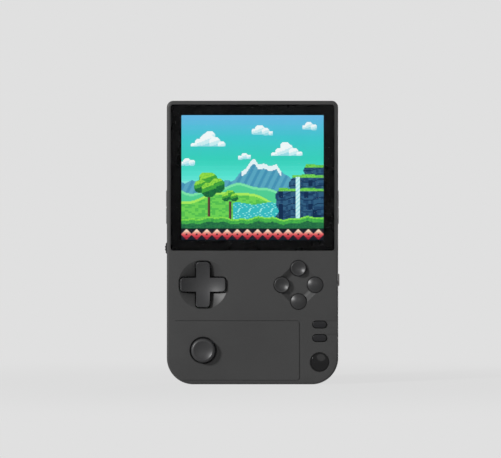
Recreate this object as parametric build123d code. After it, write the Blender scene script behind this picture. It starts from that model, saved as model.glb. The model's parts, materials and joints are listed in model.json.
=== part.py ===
from build123d import *
import math
import os

# Handheld game console, upright, in millimetres.
# X is the width, Y runs from the front to the back, Z is up.
# The origin is the middle of the flat bottom edge, at half the body's depth.

# Display and glass
display_width = 67.2
display_height = 59.1
bezel_side = 5.1
bezel_top = 5.0
bezel_bottom = 4.9
glass_margin = 1.8
glass_thickness = 1.1
glass_corner_radius = 1.2
glass_edge_chamfer = 0.15
glass_gap = 0.1
mask_thickness = 0.2

# Body: its width and height follow the display and what stands round it
body_depth = 20.0
top_corner_radius = 3.1
bottom_corner_radius = 12.5
front_edge_radius = 1.2
rear_edge_radius = 2.4
side_wall = 1.8
front_wall = 2.0
rear_wall = 1.8
lip_inset = 0.9
lip_gap = 0.1
lip_height = 1.2
overrun = 1.0
least_radius = 0.2
first_bevel_share = 2 - math.sqrt(2)
second_bevel_share = math.tan(math.pi / 8) - math.tan(math.pi / 16)
post_sides = 8
screw_sides = 6
pocket_sides = 12
grille_sides = 6

# Display module
module_side_margin = 1.3
module_top_margin = 1.5
module_bottom_margin = 3.0
panel_thickness = 1.4
backlight_thickness = 1.9
backlight_rim = 0.4
backlight_tray_depth = 1.2
window_gap = 0.3
shelf_thickness = 1.3
shelf_lower_width = 1.5

# Main board
display_board_gap = 1.4
board_thickness = 1.2
board_edge_gap = 0.6
board_hole_gap = 0.4
board_boss_radius = 1.6
board_pilot_radius = 0.72
board_screw_radius = 0.7
board_screw_hole_gap = 0.2
board_head_radius = 1.5
board_head_height = 0.9
board_screw_length = 3.2

# Shell screws
shell_boss_radius = 1.9
rear_boss_radius = 2.3
pilot_radius = 0.92
pilot_floor = 0.9
screw_radius = 0.9
screw_hole_radius = 1.15
screw_head_radius = 1.65
screw_head_height = 1.1
screw_pocket_radius = 1.85
screw_pocket_depth = 1.7
screw_tip_gap = 0.6
boss_meet_gap = 1.3
screw_wall_gap = 0.3
screw_module_gap = 0.1
screw_module_tuck = 0.2
screw_power_gap = 0.25
screw_corner_gap = 3.0

# Board screws
board_screw_edge_gap = 0.1
board_screw_window_gap = 0.2
board_screw_shoulder_gap = 7.1
board_screw_connector_gap = 0.9
board_screw_jack_gap = 2.3
board_screw_port_gap = 4.2
board_screw_middle_reach = 2.5
board_screw_pad_drop = 13.6

# Four-way pad
pad_wall_gap = 3.5
pad_stick_gap = 10.2
pad_glass_gap = 5.5
pad_span = 21.2
pad_arm = 6.5
pad_gap = 0.62
pad_corner_radius = 1.4
pad_proud = 1.5
pad_hollow = 0.7
pad_edge_bevel = 0.35
pad_dish_rim = 1.1
pad_dish_depth = 1.05
pad_dish_floor = 5.0
pad_flange_inset = 1.3
pad_flange_thickness = 0.8
pad_flange_gap = 0.12
pad_flange_slope = 0.12
pad_ball_radius = 1.1
pad_ball_gap = 0.03
pad_boss_radius = 2.3
pad_dome_inset = 1.9

# Face buttons
cluster_wall_gap = 4.73
cluster_drop = 0.1
button_radius = 3.6
button_spacing = 1.73
button_gap = 0.35
button_proud = 1.35
button_dome = 1.0
button_hollow = 0.8
button_edge_bevel = 0.3
button_flange_rim = 1.1
button_flange_thickness = 0.9
button_flange_gap = 0.06
button_stem_radius = 1.8
button_travel = 0.9
cluster_dish_inset = 0.66
cluster_dish_corner = 3.2
cluster_dish_depth = 0.75
cluster_dish_slope = 2.3

# Small buttons
pill_wall_gap = 3.05
pill_spacing = 1.8
pill_length = 6.5
pill_width = 3.2
pill_gap = 0.3
pill_proud = 0.35
pill_edge_bevel = 0.25
pill_flange_rim = 0.7
pill_band_width = 3.7
pill_band_depth = 0.25
menu_wall_gap = 1.95
menu_bottom_gap = 5.55
menu_pill_gap = 4.15
menu_radius = 4.15
menu_gap = 0.35
menu_bevel = 0.35
menu_proud = 0.5
menu_dome = 0.45
menu_flange_rim = 0.8

# Rubber membranes
sheet_thickness = 0.9
sheet_margin = 4.4
dome_radius = 2.3
contact_gap = 0.04
ball_hole_gap = 0.3
system_sheet_width = 8.4
system_sheet_rim = 0.9

# Styling groove round the stick's corner of the face
groove_width = 0.45
groove_depth = 0.35
groove_left = 4.2
groove_right = 18.1
groove_rise = 14.17
groove_bottom = 1.63
groove_corner = 1.6

# Thumbstick
stick_wall_gap = 6.4
stick_boss_gap = 0.4
stick_front_gap = 0.1
stick_well_gap = 0.6
stick_well_bevel = 0.4
stick_cap_radius = 5.5
stick_cap_proud = 3.3
stick_rim_height = 1.5
stick_rim_bevel = 0.5
stick_rim_land = 0.25
stick_neck_radius = 2.6
stick_neck_start = 4.3
stick_hollow = 0.75
stick_shaft_radius = 0.6
stick_stem_radius = 1.2
stick_stem_gap = 0.03
stick_stem_reach = 6.4
stick_housing_width = 15.6
stick_housing_wall = 0.9
stick_housing_plate = 0.5
stick_housing_front = 2.9
stick_housing_back = 2.6
stick_mouth_radius = 4.5
stick_tab_width = 1.2
stick_tab_thickness = 0.5
trunnion_radius = 0.8
trunnion_gap = 0.04
trunnion_end_gap = 0.2
cross_half_length = 2.2
cross_half_width = 1.6
cross_half_depth = 1.0
cross_slot_half_length = 1.4
stick_pin_radius = 0.35
stick_pin_gap = 0.03
stick_tail = 0.85
slot_gap = 0.11
arch_inner_radius = 3.15
arch_outer_radius = 3.75
arch_half_width = 1.35
arch_slot_half_length = 1.7
sensor_thickness = 1.1
sensor_radius = 2.3

# Volume wheel
wheel_radius = 6.1
wheel_proud = 1.1
wheel_boss_gap = 0.05
wheel_thickness = 2.2
wheel_bore_radius = 1.25
wheel_post_gap = 0.05
wheel_slot_gap = 0.45
wheel_side_gap = 0.35
wheel_teeth = 26
tooth_depth = 0.25
tooth_shares = (0.15, 0.3, 0.7, 0.85)
pot_radius = 2.9
pot_base_height = 0.81
pot_head_radius = 1.7
pot_head_height = 0.35

# Power button
power_card_gap = 3.7
power_length = 5.9
power_width = 2.2
power_corner = 0.55
power_proud = 0.75
power_gap = 0.2
power_flange_rim = 0.7
power_flange_thickness = 0.8
power_flange_gap = 0.1
power_stem_length = 0.8
power_stem_radius = 0.7
power_switch_gap = 0.6
power_switch_length = 4.6
power_switch_depth = 3.6
power_switch_height = 6.0

# Shoulder buttons
shoulder_proud = 0.55
shoulder_wheel_gap = 5.5
shoulder_lower_length = 7.6
shoulder_upper_length = 7.45
shoulder_split = 0.45
shoulder_taper_length = 1.5
shoulder_inner_reach = 9.65
shoulder_gap = 0.35
shoulder_skin = 1.3
shoulder_parting_rim = 1.95
shoulder_travel_room = 1.05
barrel_radius = 1.5
barrel_wall_gap = 0.5
pin_radius = 0.7
pin_gap = 0.05
pin_seat_gap = 0.01
arm_thickness = 1.6
ear_thickness = 2.1
ear_gap = 0.2
ear_half_width = 1.5
ear_opening_gap = 0.4
skirt_wall_gap = 1.05
skirt_thickness = 0.8
skirt_overlap = 0.8
rib_reach = 6.3
rib_thickness = 1.4
shoulder_dome_radius = 1.8
shoulder_dome_height = 2.11

# Ports, jack and card sockets
port_width = 8.94
port_height = 3.26
port_depth = 7.4
port_wall = 0.3
port_corner = 0.95
port_recess = 0.9
port_clearance = 0.35
port_tongue_thickness = 0.7
port_tongue_margin = 1.1
port_stick_gap = 1.03
top_port_x = 0.0
jack_bore_radius = 1.8
jack_body_width = 6.4
jack_body_depth = 5.2
jack_body_length = 12.5
jack_recess = 0.5
jack_clearance = 0.25
card_height = 35.5
card_side_wall = 1.1
card_slot_width = 1.3
card_socket_length = 14.0
card_socket_depth = 14.5
card_socket_thickness = 1.5
card_socket_recess = 2.1
card_mouth_wall = 0.2

# Battery, speaker and processor
battery_ear_gap = 1.6
battery_height = 50.0
battery_thickness = 7.2
battery_speaker_gap = 12.0
battery_corner = 1.6
battery_pad_thickness = 0.2
battery_pad_margin = 4.0
tray_gap = 0.5
tray_wall = 1.0
tray_height = 4.5
speaker_inset = 23.5
speaker_boss_gap = 8.3
speaker_width = 20.0
speaker_height = 15.0
speaker_thickness = 4.2
speaker_corner = 2.0
speaker_cone_radius = 5.8
speaker_cone_depth = 0.9
speaker_cap_radius = 2.2
speaker_gasket_thickness = 0.5
speaker_gasket_width = 1.2
grille_hole_radius = 0.75
grille_pitch = 2.5
grille_columns = 5
grille_rows = 4
processor_size = 13.0
processor_thickness = 1.2
processor_drop = 26.0
shield_width = 26.0
shield_height = 22.0
shield_thickness = 2.4
shield_wall = 0.25
thermal_pad_gap = 0.02

# Ribbon and foam
ribbon_width = 18.0
ribbon_thickness = 0.2
ribbon_lap = 4.0
ribbon_step = 1.0
ribbon_drop = 4.6
ribbon_bend = 0.8
connector_height = 0.9
connector_depth = 3.2
connector_rim = 1.2
foam_width = 40.0
foam_height = 6.0
foam_low_inset = 8.0
foam_top_inset = 13.6

# Levels from the front to the back
face_y = -body_depth / 2
back_y = body_depth / 2
wall_y = face_y + front_wall
rear_wall_y = back_y - rear_wall
glass_back_y = face_y + glass_thickness
panel_front_y = glass_back_y + mask_thickness
panel_back_y = panel_front_y + panel_thickness
backlight_back_y = panel_back_y + backlight_thickness
board_front_y = backlight_back_y + display_board_gap
board_back_y = board_front_y + board_thickness
parting_y = board_back_y + pot_base_height + contact_gap + wheel_thickness / 2
sheet_front_y = board_front_y - sheet_thickness
boss_meet_y = board_back_y + boss_meet_gap
pad_ball_y = board_front_y - pad_ball_gap - pad_ball_radius
stick_pivot_y = wall_y + stick_front_gap + stick_housing_front
stick_pad_y = board_front_y - stick_tab_thickness
card_mid_y = board_back_y + card_socket_thickness / 2
port_mid_y = board_back_y + port_height / 2
jack_mid_y = board_back_y + jack_body_depth / 2
shoulder_front_y = parting_y + shoulder_parting_rim
skin_front_y = shoulder_front_y + shoulder_travel_room
shoulder_pivot_y = rear_wall_y - barrel_wall_gap - barrel_radius
shoulder_dome_y = board_back_y + shoulder_dome_height

# Sizes that follow others
body_width = display_width + 2 * (bezel_side + glass_margin)
half_width = body_width / 2
glass_width = display_width + 2 * bezel_side
glass_height = display_height + bezel_top + bezel_bottom
module_width = display_width + 2 * module_side_margin
pad_dish_radius = pad_span / 2 + pad_dish_rim
pad_flange_radius = pad_span / 2 - pad_flange_inset
pad_flange_front_y = wall_y + pad_flange_gap + pad_flange_slope * pad_flange_radius
pad_flange_back_y = pad_flange_front_y + pad_flange_thickness
pad_dome_reach = pad_flange_radius - pad_dome_inset
pad_sheet_radius = pad_dome_reach + sheet_margin
button_flange_radius = button_radius + button_flange_rim
button_flange_back_y = wall_y + button_flange_gap + button_flange_thickness
button_stem_back_y = button_flange_back_y + button_travel / 2 + button_flange_gap
cluster_arm = (2 * button_flange_radius + button_spacing) / math.sqrt(2)
cluster_sheet_radius = cluster_arm + sheet_margin
cluster_dish_reach = cluster_arm / math.sqrt(2) + button_radius - cluster_dish_inset
stick_housing_reach = stick_housing_width / 2 + stick_tab_width
stick_well_radius = stick_cap_radius + stick_well_gap
power_reach = max(power_length / 2 + power_flange_rim, power_switch_height / 2)
jack_nose_radius = jack_body_depth / 2
card_slot_length = card_socket_length - 2 * card_side_wall

# Places across the width
pad_x = -half_width + side_wall + pad_wall_gap + pad_sheet_radius
cluster_x = half_width - side_wall - cluster_wall_gap - cluster_sheet_radius
pill_x = half_width - side_wall - pill_wall_gap - pill_flange_rim - pill_length / 2
menu_x = half_width - side_wall - menu_wall_gap - menu_flange_rim - menu_radius
stick_x = -half_width + side_wall + stick_wall_gap + stick_housing_reach
bottom_port_x = stick_x + stick_housing_width / 2 + port_stick_gap + port_width / 2
jack_x = -bottom_port_x
wheel_x = -half_width - wheel_proud + wheel_radius
speaker_x = half_width - speaker_inset
shoulder_pivot_x = half_width - shoulder_inner_reach - shoulder_gap - ear_opening_gap - ear_half_width
battery_width = 2 * (shoulder_pivot_x - ear_half_width - battery_ear_gap - tray_wall - tray_gap)

# Places up the body, from its bottom edge
bottom_screw_z = side_wall + screw_wall_gap + rear_boss_radius
stick_height = bottom_screw_z + rear_boss_radius + stick_boss_gap + stick_housing_reach
groove_top = stick_height + groove_rise
pad_height = stick_height + stick_housing_reach + pad_stick_gap + pad_sheet_radius
cluster_height = pad_height - cluster_drop
menu_height = menu_bottom_gap + menu_flange_rim + menu_radius
start_height = menu_height + menu_radius + menu_flange_rim + menu_pill_gap + pill_flange_rim + pill_width / 2
select_height = start_height + pill_width + 2 * pill_flange_rim + pill_spacing
speaker_low_z = bottom_screw_z + rear_boss_radius + speaker_boss_gap + tray_wall + tray_gap
speaker_z = speaker_low_z + speaker_height / 2
battery_low = speaker_low_z + speaker_height + battery_speaker_gap
power_height = card_height + card_socket_length / 2 + power_card_gap + power_switch_height / 2
middle_screw_z = power_height + power_reach + screw_power_gap + rear_boss_radius
wheel_height = middle_screw_z + rear_boss_radius + wheel_boss_gap + wheel_slot_gap + wheel_radius
shoulder_low = wheel_height + wheel_radius + shoulder_wheel_gap
shoulder_split_low = shoulder_low + shoulder_lower_length
shoulder_split_high = shoulder_split_low + shoulder_split
shoulder_high = shoulder_split_high + shoulder_upper_length
shoulder_taper_high = shoulder_high + shoulder_taper_length

# The display stands over the controls, and its glass ends the body
glass_bottom_z = pad_height + pad_span / 2 + pad_glass_gap
glass_top_z = glass_bottom_z + glass_height
body_height = glass_top_z + glass_margin
glass_mid_z = glass_top_z - glass_height / 2
display_top_z = glass_top_z - bezel_top
display_mid_z = display_top_z - display_height / 2
module_top_z = display_top_z + module_top_margin
module_bottom_z = display_top_z - display_height - module_bottom_margin
module_height = module_top_z - module_bottom_z
module_mid_z = (module_top_z + module_bottom_z) / 2
pocket_bottom_z = glass_bottom_z - glass_gap
connector_top_z = module_bottom_z - ribbon_drop + connector_depth
processor_z = body_height - processor_drop

# Shoulder barrels and the ears between them
lower_barrel_mid = (shoulder_low + shoulder_split_low) / 2
upper_barrel_mid = (shoulder_split_high + shoulder_high) / 2
barrel_length = upper_barrel_mid - lower_barrel_mid - ear_thickness - 2 * ear_gap
barrel_lows = (lower_barrel_mid - barrel_length / 2, upper_barrel_mid - barrel_length / 2)
ear_lows = (
    barrel_lows[0] - ear_gap - ear_thickness,
    barrel_lows[1] - ear_gap - ear_thickness,
    barrel_lows[1] + barrel_length + ear_gap,
)

cluster_places = {
    "top": (cluster_x, cluster_height + cluster_arm),
    "left": (cluster_x - cluster_arm, cluster_height),
    "right": (cluster_x + cluster_arm, cluster_height),
    "bottom": (cluster_x, cluster_height - cluster_arm),
}
hollow_buttons = ("top", "left")
shell_screw_pairs = (
    (module_width / 2 + screw_module_gap + shell_boss_radius,
     module_top_z + shell_boss_radius - screw_module_tuck),
    (half_width - side_wall - screw_wall_gap - shell_boss_radius, middle_screw_z),
    (half_width - bottom_corner_radius - screw_corner_gap, bottom_screw_z),
)
shell_screw_places = [(side * x, z) for x, z in shell_screw_pairs for side in (-1, 1)]
board_screw_top_x = module_width / 2 + window_gap + board_screw_window_gap + board_boss_radius
board_screw_top_z = shoulder_taper_high + board_screw_shoulder_gap
board_screw_places = [
    (-half_width + side_wall + board_edge_gap + board_screw_edge_gap + board_boss_radius,
     card_height - card_socket_length / 2 - board_head_radius),
    (-board_screw_middle_reach,
     connector_top_z - connector_depth - board_screw_connector_gap - board_boss_radius),
    (board_screw_middle_reach, pad_height - board_screw_pad_drop),
    (jack_x - jack_body_width / 2 - board_screw_jack_gap - board_head_radius,
     port_recess + port_depth + board_screw_port_gap),
    (-board_screw_top_x, board_screw_top_z),
    (board_screw_top_x, board_screw_top_z),
]


# Basic shapes

def slab(outline, y0, y1):
    """An outline drawn in X and Z, as a solid from y0 to y1."""
    return extrude(Plane.XZ.offset(-y1) * outline, amount=y1 - y0)


def prism(outline, z0, z1):
    """An outline drawn in X and Y, as a solid from z0 to z1."""
    return extrude(Plane.XY.offset(z0) * outline, amount=z1 - z0)


def beam(outline, x0, x1):
    """An outline drawn in Y and Z, as a solid from x0 to x1."""
    return extrude(Plane.YZ.offset(x0) * outline, amount=x1 - x0)


def block(x0, x1, y0, y1, z0, z1):
    """A box between two corners."""
    middle = ((x0 + x1) / 2, (y0 + y1) / 2, (z0 + z1) / 2)
    return Pos(*middle) * Box(x1 - x0, y1 - y0, z1 - z0)


def rod(x, z, radius, y0, y1):
    """A round bar along Y."""
    return Pos(x, (y0 + y1) / 2, z) * Rot(90, 0, 0) * Cylinder(radius, y1 - y0)


def cone(x, z, front_radius, back_radius, y0, y1):
    """A cone along Y, with its front radius at y0."""
    return Pos(x, (y0 + y1) / 2, z) * Rot(90, 0, 0) * Cone(back_radius, front_radius, y1 - y0)


def post(x, z, radius, y0, y1, sides=post_sides):
    """A straight bar along Y with flat sides, for hidden bosses, holes and screws."""
    return slab(Pos(x, z) * RegularPolygon(radius, sides), y0, y1)


def bar_x(x0, x1, y, z, radius):
    """A round bar along X."""
    return Pos((x0 + x1) / 2, y, z) * Rot(0, 90, 0) * Cylinder(radius, x1 - x0)


def bar_z(x, y, z0, z1, radius):
    """A round bar along Z."""
    return Pos(x, y, (z0 + z1) / 2) * Cylinder(radius, z1 - z0)


def ball(x, y, z, radius):
    return Pos(x, y, z) * Sphere(radius)


def rounded(x, z, width, height, radius):
    """A rounded rectangle in X and Z about a centre."""
    return Pos(x, z) * RectangleRounded(width, height, radius)


def pivot_section(half_width_across):
    """An eight-sided section with this distance from its middle to each flat."""
    return Rot(0, 0, 180 / post_sides) * RegularPolygon(half_width_across, post_sides, major_radius=False)


def clipped(width, height, corner):
    """A rectangle with its four corners cut off, about the middle."""
    outline = Rectangle(width, height)
    return chamfer(outline.vertices(), corner)


def cap_sphere_radius(radius, rise):
    """The radius of a sphere whose cap is this wide and this high."""
    return (radius * radius + rise * rise) / (2 * rise)


def edges_at(solid, level):
    """The edges whose middle lies at this level of Y."""
    return [edge for edge in solid.edges() if abs(edge.center().Y - level) < least_radius / 2]


def round_over(solid, level, inward, radius):
    """Three narrow bevels that round the outer edge at this level of Y."""
    first = radius * first_bevel_share
    second = radius * second_bevel_share
    solid = chamfer(edges_at(solid, level), first)
    rims = edges_at(solid, level) + edges_at(solid, level + inward * first)
    return chamfer(rims, second)


# Outlines

def body_outline(inset):
    """The body's front outline, drawn in from its edge."""
    outline = Rectangle(body_width - 2 * inset, body_height - 2 * inset)
    top = outline.vertices().group_by(Axis.Y)[-1]
    outline = fillet(top, max(top_corner_radius - inset, least_radius))
    low = outline.vertices().group_by(Axis.Y)[0]
    outline = fillet(low, max(bottom_corner_radius - inset, least_radius))
    return Pos(0, body_height / 2) * outline


def inner_outline(inset):
    """The same outline for the walls inside, with three flats round each corner."""
    outline = Rectangle(body_width - 2 * inset, body_height - 2 * inset)
    for end, beside, corner in ((-1, -2, top_corner_radius), (0, 1, bottom_corner_radius)):
        radius = max(corner - inset, least_radius)
        outline = chamfer(outline.vertices().group_by(Axis.Y)[end], radius * first_bevel_share)
        rows = outline.vertices().group_by(Axis.Y)
        outline = chamfer(rows[end] + rows[beside], radius * second_bevel_share)
    return Pos(0, body_height / 2) * outline


def pad_outline(grow):
    """The four-way pad's cross, grown on every side."""
    span = pad_span + 2 * grow
    arm = pad_arm + 2 * grow
    cross = Rectangle(span, arm) + Rectangle(arm, span)
    outer = cross.vertices().sort_by_distance((0, 0, 0))[4:]
    return Pos(pad_x, pad_height) * fillet(outer, pad_corner_radius + grow)


def pill_outline(z, grow):
    return Pos(pill_x, z) * SlotOverall(pill_length + 2 * grow, pill_width + 2 * grow)


def port_outline(grow):
    """A charging port's mouth in X and Y, about its centre."""
    return clipped(port_width + 2 * grow, port_height + 2 * grow, port_corner + grow / 2)


# Openings that both shells share

def side_cuts():
    """The wheel, power, card, port and jack openings through the side walls."""
    wall_end = half_width - side_wall - overrun
    outside = half_width + overrun
    wheel_room = rod(wheel_x, wheel_height, wheel_radius + wheel_slot_gap,
                     parting_y - wheel_thickness / 2 - wheel_side_gap,
                     parting_y + wheel_thickness / 2 + wheel_side_gap)
    left_wall = block(-outside - wheel_proud, -wall_end, face_y, back_y, 0, body_height)
    cuts = [wheel_room & left_wall, power_solid(power_gap, wall_end, outside)]
    for side in (-1, 1):
        cuts.append(Pos(side * half_width, card_mid_y, card_height) * Box(
            2 * (side_wall + overrun), card_slot_width, card_slot_length))
    mouth = port_outline(port_clearance)
    cuts.append(prism(Pos(bottom_port_x, port_mid_y) * mouth, -overrun, side_wall + overrun))
    top_z = body_height - side_wall
    cuts.append(prism(Pos(top_port_x, port_mid_y) * mouth, top_z - overrun, body_height + overrun))
    cuts.append(bar_z(jack_x, jack_mid_y, -overrun, side_wall + overrun, jack_nose_radius + jack_clearance))
    return cuts


# Front shell

def glass_pocket():
    outline = rounded(0, glass_mid_z, glass_width + 2 * glass_gap, glass_height + 2 * glass_gap,
                      glass_corner_radius + glass_gap)
    return slab(outline, face_y - overrun, panel_front_y)


def display_shelf():
    """The ledge that the glass rests on, round the display's window."""
    inner = half_width - side_wall
    low = pocket_bottom_z - shelf_lower_width
    high = body_height - side_wall
    return block(-inner, inner, panel_front_y, panel_front_y + shelf_thickness, low, high)


def display_window():
    half = module_width / 2 + window_gap
    return block(-half, half, face_y, wall_y + shelf_thickness + overrun,
                 module_bottom_z - window_gap, module_top_z + window_gap)


def pad_dish():
    return cone(pad_x, pad_height, pad_dish_radius, pad_dish_floor, face_y, face_y + pad_dish_depth)


def cluster_dish():
    """A shallow square bowl on its corner, with sloping sides."""
    floor_half = cluster_dish_reach - cluster_dish_slope
    outline = RectangleRounded(2 * floor_half, 2 * floor_half, cluster_dish_corner - cluster_dish_slope / 2)
    angle = math.degrees(math.atan2(cluster_dish_slope, cluster_dish_depth))
    floor = Plane.XZ.offset(-(face_y + cluster_dish_depth)) * Pos(cluster_x, cluster_height)
    return extrude(floor * Rot(0, 0, 45) * outline, amount=cluster_dish_depth, taper=-angle)


def panel_groove():
    """The fine line round the stick's corner, open on the left."""
    left = -half_width + groove_left
    right = half_width - groove_right
    middle = ((left + right) / 2, (groove_bottom + groove_top) / 2)
    width = right - left
    height = groove_top - groove_bottom
    outer = rounded(*middle, width + 2 * groove_corner, height, groove_corner)
    inner = rounded(*middle, width + 2 * groove_corner - 2 * groove_width, height - 2 * groove_width,
                    groove_corner - groove_width)
    line = slab(Pos(-groove_corner, 0) * (outer - inner), face_y - overrun, face_y + groove_depth)
    return line & block(left, right + overrun, face_y - overrun, back_y, 0, body_height)


def front_holes():
    """The openings for the controls on the face."""
    front = face_y - overrun
    back = wall_y + overrun
    holes = [slab(pad_outline(pad_gap), front, back)]
    for x, z in cluster_places.values():
        holes.append(rod(x, z, button_radius + button_gap, front, back))
    for z in (select_height, start_height):
        holes.append(slab(pill_outline(z, pill_gap), front, back))
        band_half = pill_band_width / 2
        holes.append(block(pill_x, half_width + overrun, front, face_y + pill_band_depth,
                           z - band_half, z + band_half))
    hole = menu_radius + menu_gap
    holes.append(rod(menu_x, menu_height, hole, front, back))
    holes.append(cone(menu_x, menu_height, hole + menu_bevel, hole, face_y, face_y + menu_bevel))
    holes.append(rod(stick_x, stick_height, stick_well_radius, front, back))
    holes.append(cone(stick_x, stick_height, stick_well_radius + stick_well_bevel, stick_well_radius,
                      face_y, face_y + stick_well_bevel))
    return holes


def make_front_shell():
    shell = slab(body_outline(0), face_y, parting_y)
    shell = round_over(shell, face_y, 1, front_edge_radius)
    shell -= slab(inner_outline(side_wall), wall_y, parting_y + overrun)
    shell -= slab(inner_outline(lip_inset), parting_y - lip_height - lip_gap, parting_y + overrun)
    shell -= glass_pocket()
    shell += display_shelf()
    shell -= display_window()
    for x, z in shell_screw_places:
        shell += post(x, z, shell_boss_radius, wall_y - pilot_floor / 2, boss_meet_y, screw_sides)
    for x, z in board_screw_places:
        shell += post(x, z, board_boss_radius, wall_y - pilot_floor / 2, board_front_y, screw_sides)
    shell -= pad_dish()
    shell -= cluster_dish()
    shell -= panel_groove()
    shell -= front_holes()
    shell -= side_cuts()
    for x, z in shell_screw_places:
        shell -= post(x, z, pilot_radius, wall_y + pilot_floor, boss_meet_y + overrun, screw_sides)
    for x, z in board_screw_places:
        shell -= post(x, z, board_pilot_radius, wall_y, board_front_y + overrun, screw_sides)
    return shell


# Rear shell

def shoulder_opening(side):
    """The notch in the rear corner that a pair of shoulder buttons fills."""
    inner = half_width - shoulder_inner_reach - shoulder_gap
    outer = half_width + overrun
    low = shoulder_low - shoulder_gap
    high = shoulder_taper_high + shoulder_gap
    room = block(inner, outer, shoulder_front_y, back_y + overrun, low, high)
    return room if side > 0 else mirror(room, Plane.YZ)


def shoulder_ears(side):
    """Three ears under the rear wall that hold a pair's hinge pin."""
    pivot = Pos(shoulder_pivot_x, shoulder_pivot_y)
    ears = []
    for low in ear_lows:
        high = low + ear_thickness
        ear = block(shoulder_pivot_x - ear_half_width, shoulder_pivot_x + ear_half_width,
                    shoulder_pivot_y, rear_wall_y + rear_wall / 2, low, high)
        ear += prism(pivot * pivot_section(ear_half_width), low, high)
        hole = pivot * pivot_section(pin_radius + pin_seat_gap)
        ears.append(ear - prism(hole, low - overrun, high + overrun))
    if side > 0:
        return ears
    return [mirror(ear, Plane.YZ) for ear in ears]


def battery_tray():
    width = battery_width + 2 * tray_gap
    height = battery_height + 2 * tray_gap
    z = battery_low + battery_height / 2
    wall = Rectangle(width + 2 * tray_wall, height + 2 * tray_wall) - Rectangle(width, height)
    return slab(Pos(0, z) * wall, rear_wall_y - tray_height, rear_wall_y + rear_wall / 2)


def speaker_seat():
    width = speaker_width + 2 * tray_gap
    height = speaker_height + 2 * tray_gap
    wall = Rectangle(width + 2 * tray_wall, height + 2 * tray_wall) - Rectangle(width, height)
    return slab(Pos(speaker_x, speaker_z) * wall, rear_wall_y - speaker_thickness / 2,
                rear_wall_y + rear_wall / 2)


def grille_places():
    """Sound holes in staggered rows over the speaker."""
    places = []
    for row in range(grille_rows):
        columns = grille_columns - row % 2
        for column in range(columns):
            x = speaker_x + (column - (columns - 1) / 2) * grille_pitch
            z = speaker_z + (row - (grille_rows - 1) / 2) * grille_pitch
            places.append((x, z))
    return places


def make_rear_shell():
    shell = slab(body_outline(0), parting_y, back_y)
    shell = round_over(shell, back_y, -1, rear_edge_radius)
    shell -= slab(inner_outline(side_wall), parting_y - overrun, rear_wall_y)
    lip = inner_outline(lip_inset + lip_gap) - inner_outline(side_wall)
    shell += slab(lip, parting_y - lip_height, parting_y + lip_height)
    for x, z in shell_screw_places:
        shell -= post(x, z, shell_boss_radius + lip_gap, parting_y - lip_height - overrun, boss_meet_y,
                      screw_sides)
    shell += battery_tray()
    shell += speaker_seat()
    for x, z in shell_screw_places:
        shell += post(x, z, rear_boss_radius, boss_meet_y, rear_wall_y + rear_wall / 2, screw_sides)
    for side in (-1, 1):
        shell -= shoulder_opening(side)
        shell += shoulder_ears(side)
    shell -= side_cuts()
    for x, z in shell_screw_places:
        shell -= post(x, z, screw_hole_radius, boss_meet_y - overrun, back_y + overrun, screw_sides)
        shell -= post(x, z, screw_pocket_radius, back_y - screw_pocket_depth, back_y + overrun, pocket_sides)
    for x, z in grille_places():
        shell -= post(x, z, grille_hole_radius, rear_wall_y - overrun, back_y + overrun, grille_sides)
    return shell


# Screen

def make_screen_glass():
    outline = rounded(0, glass_mid_z, glass_width, glass_height, glass_corner_radius)
    glass = slab(outline, face_y, glass_back_y)
    return chamfer(glass.faces().sort_by(Axis.Y)[0].edges(), glass_edge_chamfer)


def make_screen_mask():
    """The black border behind the glass, which also glues it to its ledge."""
    outer = Pos(0, glass_mid_z) * clipped(glass_width - 2 * glass_gap, glass_height - 2 * glass_gap,
                                          glass_corner_radius)
    inner = Pos(0, display_mid_z) * Rectangle(display_width, display_height)
    return slab(outer - inner, glass_back_y, panel_front_y)


def make_lcd_panel():
    outline = Pos(0, module_mid_z) * Rectangle(module_width, module_height)
    return slab(outline, panel_front_y, panel_back_y)


def make_lcd_backlight():
    """The steel tray behind the panel, open at its back."""
    middle = Pos(0, module_mid_z)
    tray = slab(middle * Rectangle(module_width, module_height), panel_back_y, backlight_back_y)
    hollow = middle * Rectangle(module_width - 2 * backlight_rim, module_height - 2 * backlight_rim)
    return tray - slab(hollow, panel_back_y + backlight_tray_depth, backlight_back_y + overrun)


def make_lcd_foam():
    """Two foam strips that hold the display off the main board."""
    pads = []
    for low in (module_bottom_z + foam_low_inset, module_top_z - foam_top_inset - foam_height):
        pads.append(block(-foam_width / 2, foam_width / 2, panel_back_y + backlight_tray_depth,
                          board_front_y, low, low + foam_height))
    return pads


def make_ribbon_connector():
    half = ribbon_width / 2 + connector_rim
    return block(-half, half, board_front_y - connector_height, board_front_y,
                 connector_top_z - connector_depth, connector_top_z)


def make_lcd_ribbon():
    """The display's flat lead: down the backlight's back, a small step back, and into its connector."""
    start_y = backlight_back_y + ribbon_thickness / 2
    end_y = board_front_y - connector_height - ribbon_thickness / 2
    top = module_bottom_z + ribbon_lap
    turn = module_bottom_z - ribbon_step
    path = FilletPolyline(
        (start_y, top), (start_y, turn), (end_y, turn - ribbon_step), (end_y, module_bottom_z - ribbon_drop),
        radius=ribbon_bend)
    strip = trace(path, ribbon_thickness)
    return extrude(Plane.YZ * strip, amount=ribbon_width / 2, both=True)


# Main board

def make_main_board():
    board = slab(inner_outline(side_wall + board_edge_gap), board_front_y, board_back_y)
    front = board_front_y - overrun
    back = board_back_y + overrun
    for x, z in shell_screw_places:
        board -= post(x, z, shell_boss_radius + board_hole_gap, front, back, screw_sides)
    for x, z in board_screw_places:
        board -= post(x, z, board_screw_radius + board_screw_hole_gap, front, back, screw_sides)
    room = stick_housing_width / 2 + board_hole_gap
    low, high = stick_height - room, stick_height + room
    return board - block(stick_x - room, stick_x + room, front, back, low, high)


def make_processor():
    half = processor_size / 2
    return block(-half, half, board_back_y, board_back_y + processor_thickness,
                 processor_z - half, processor_z + half)


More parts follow.
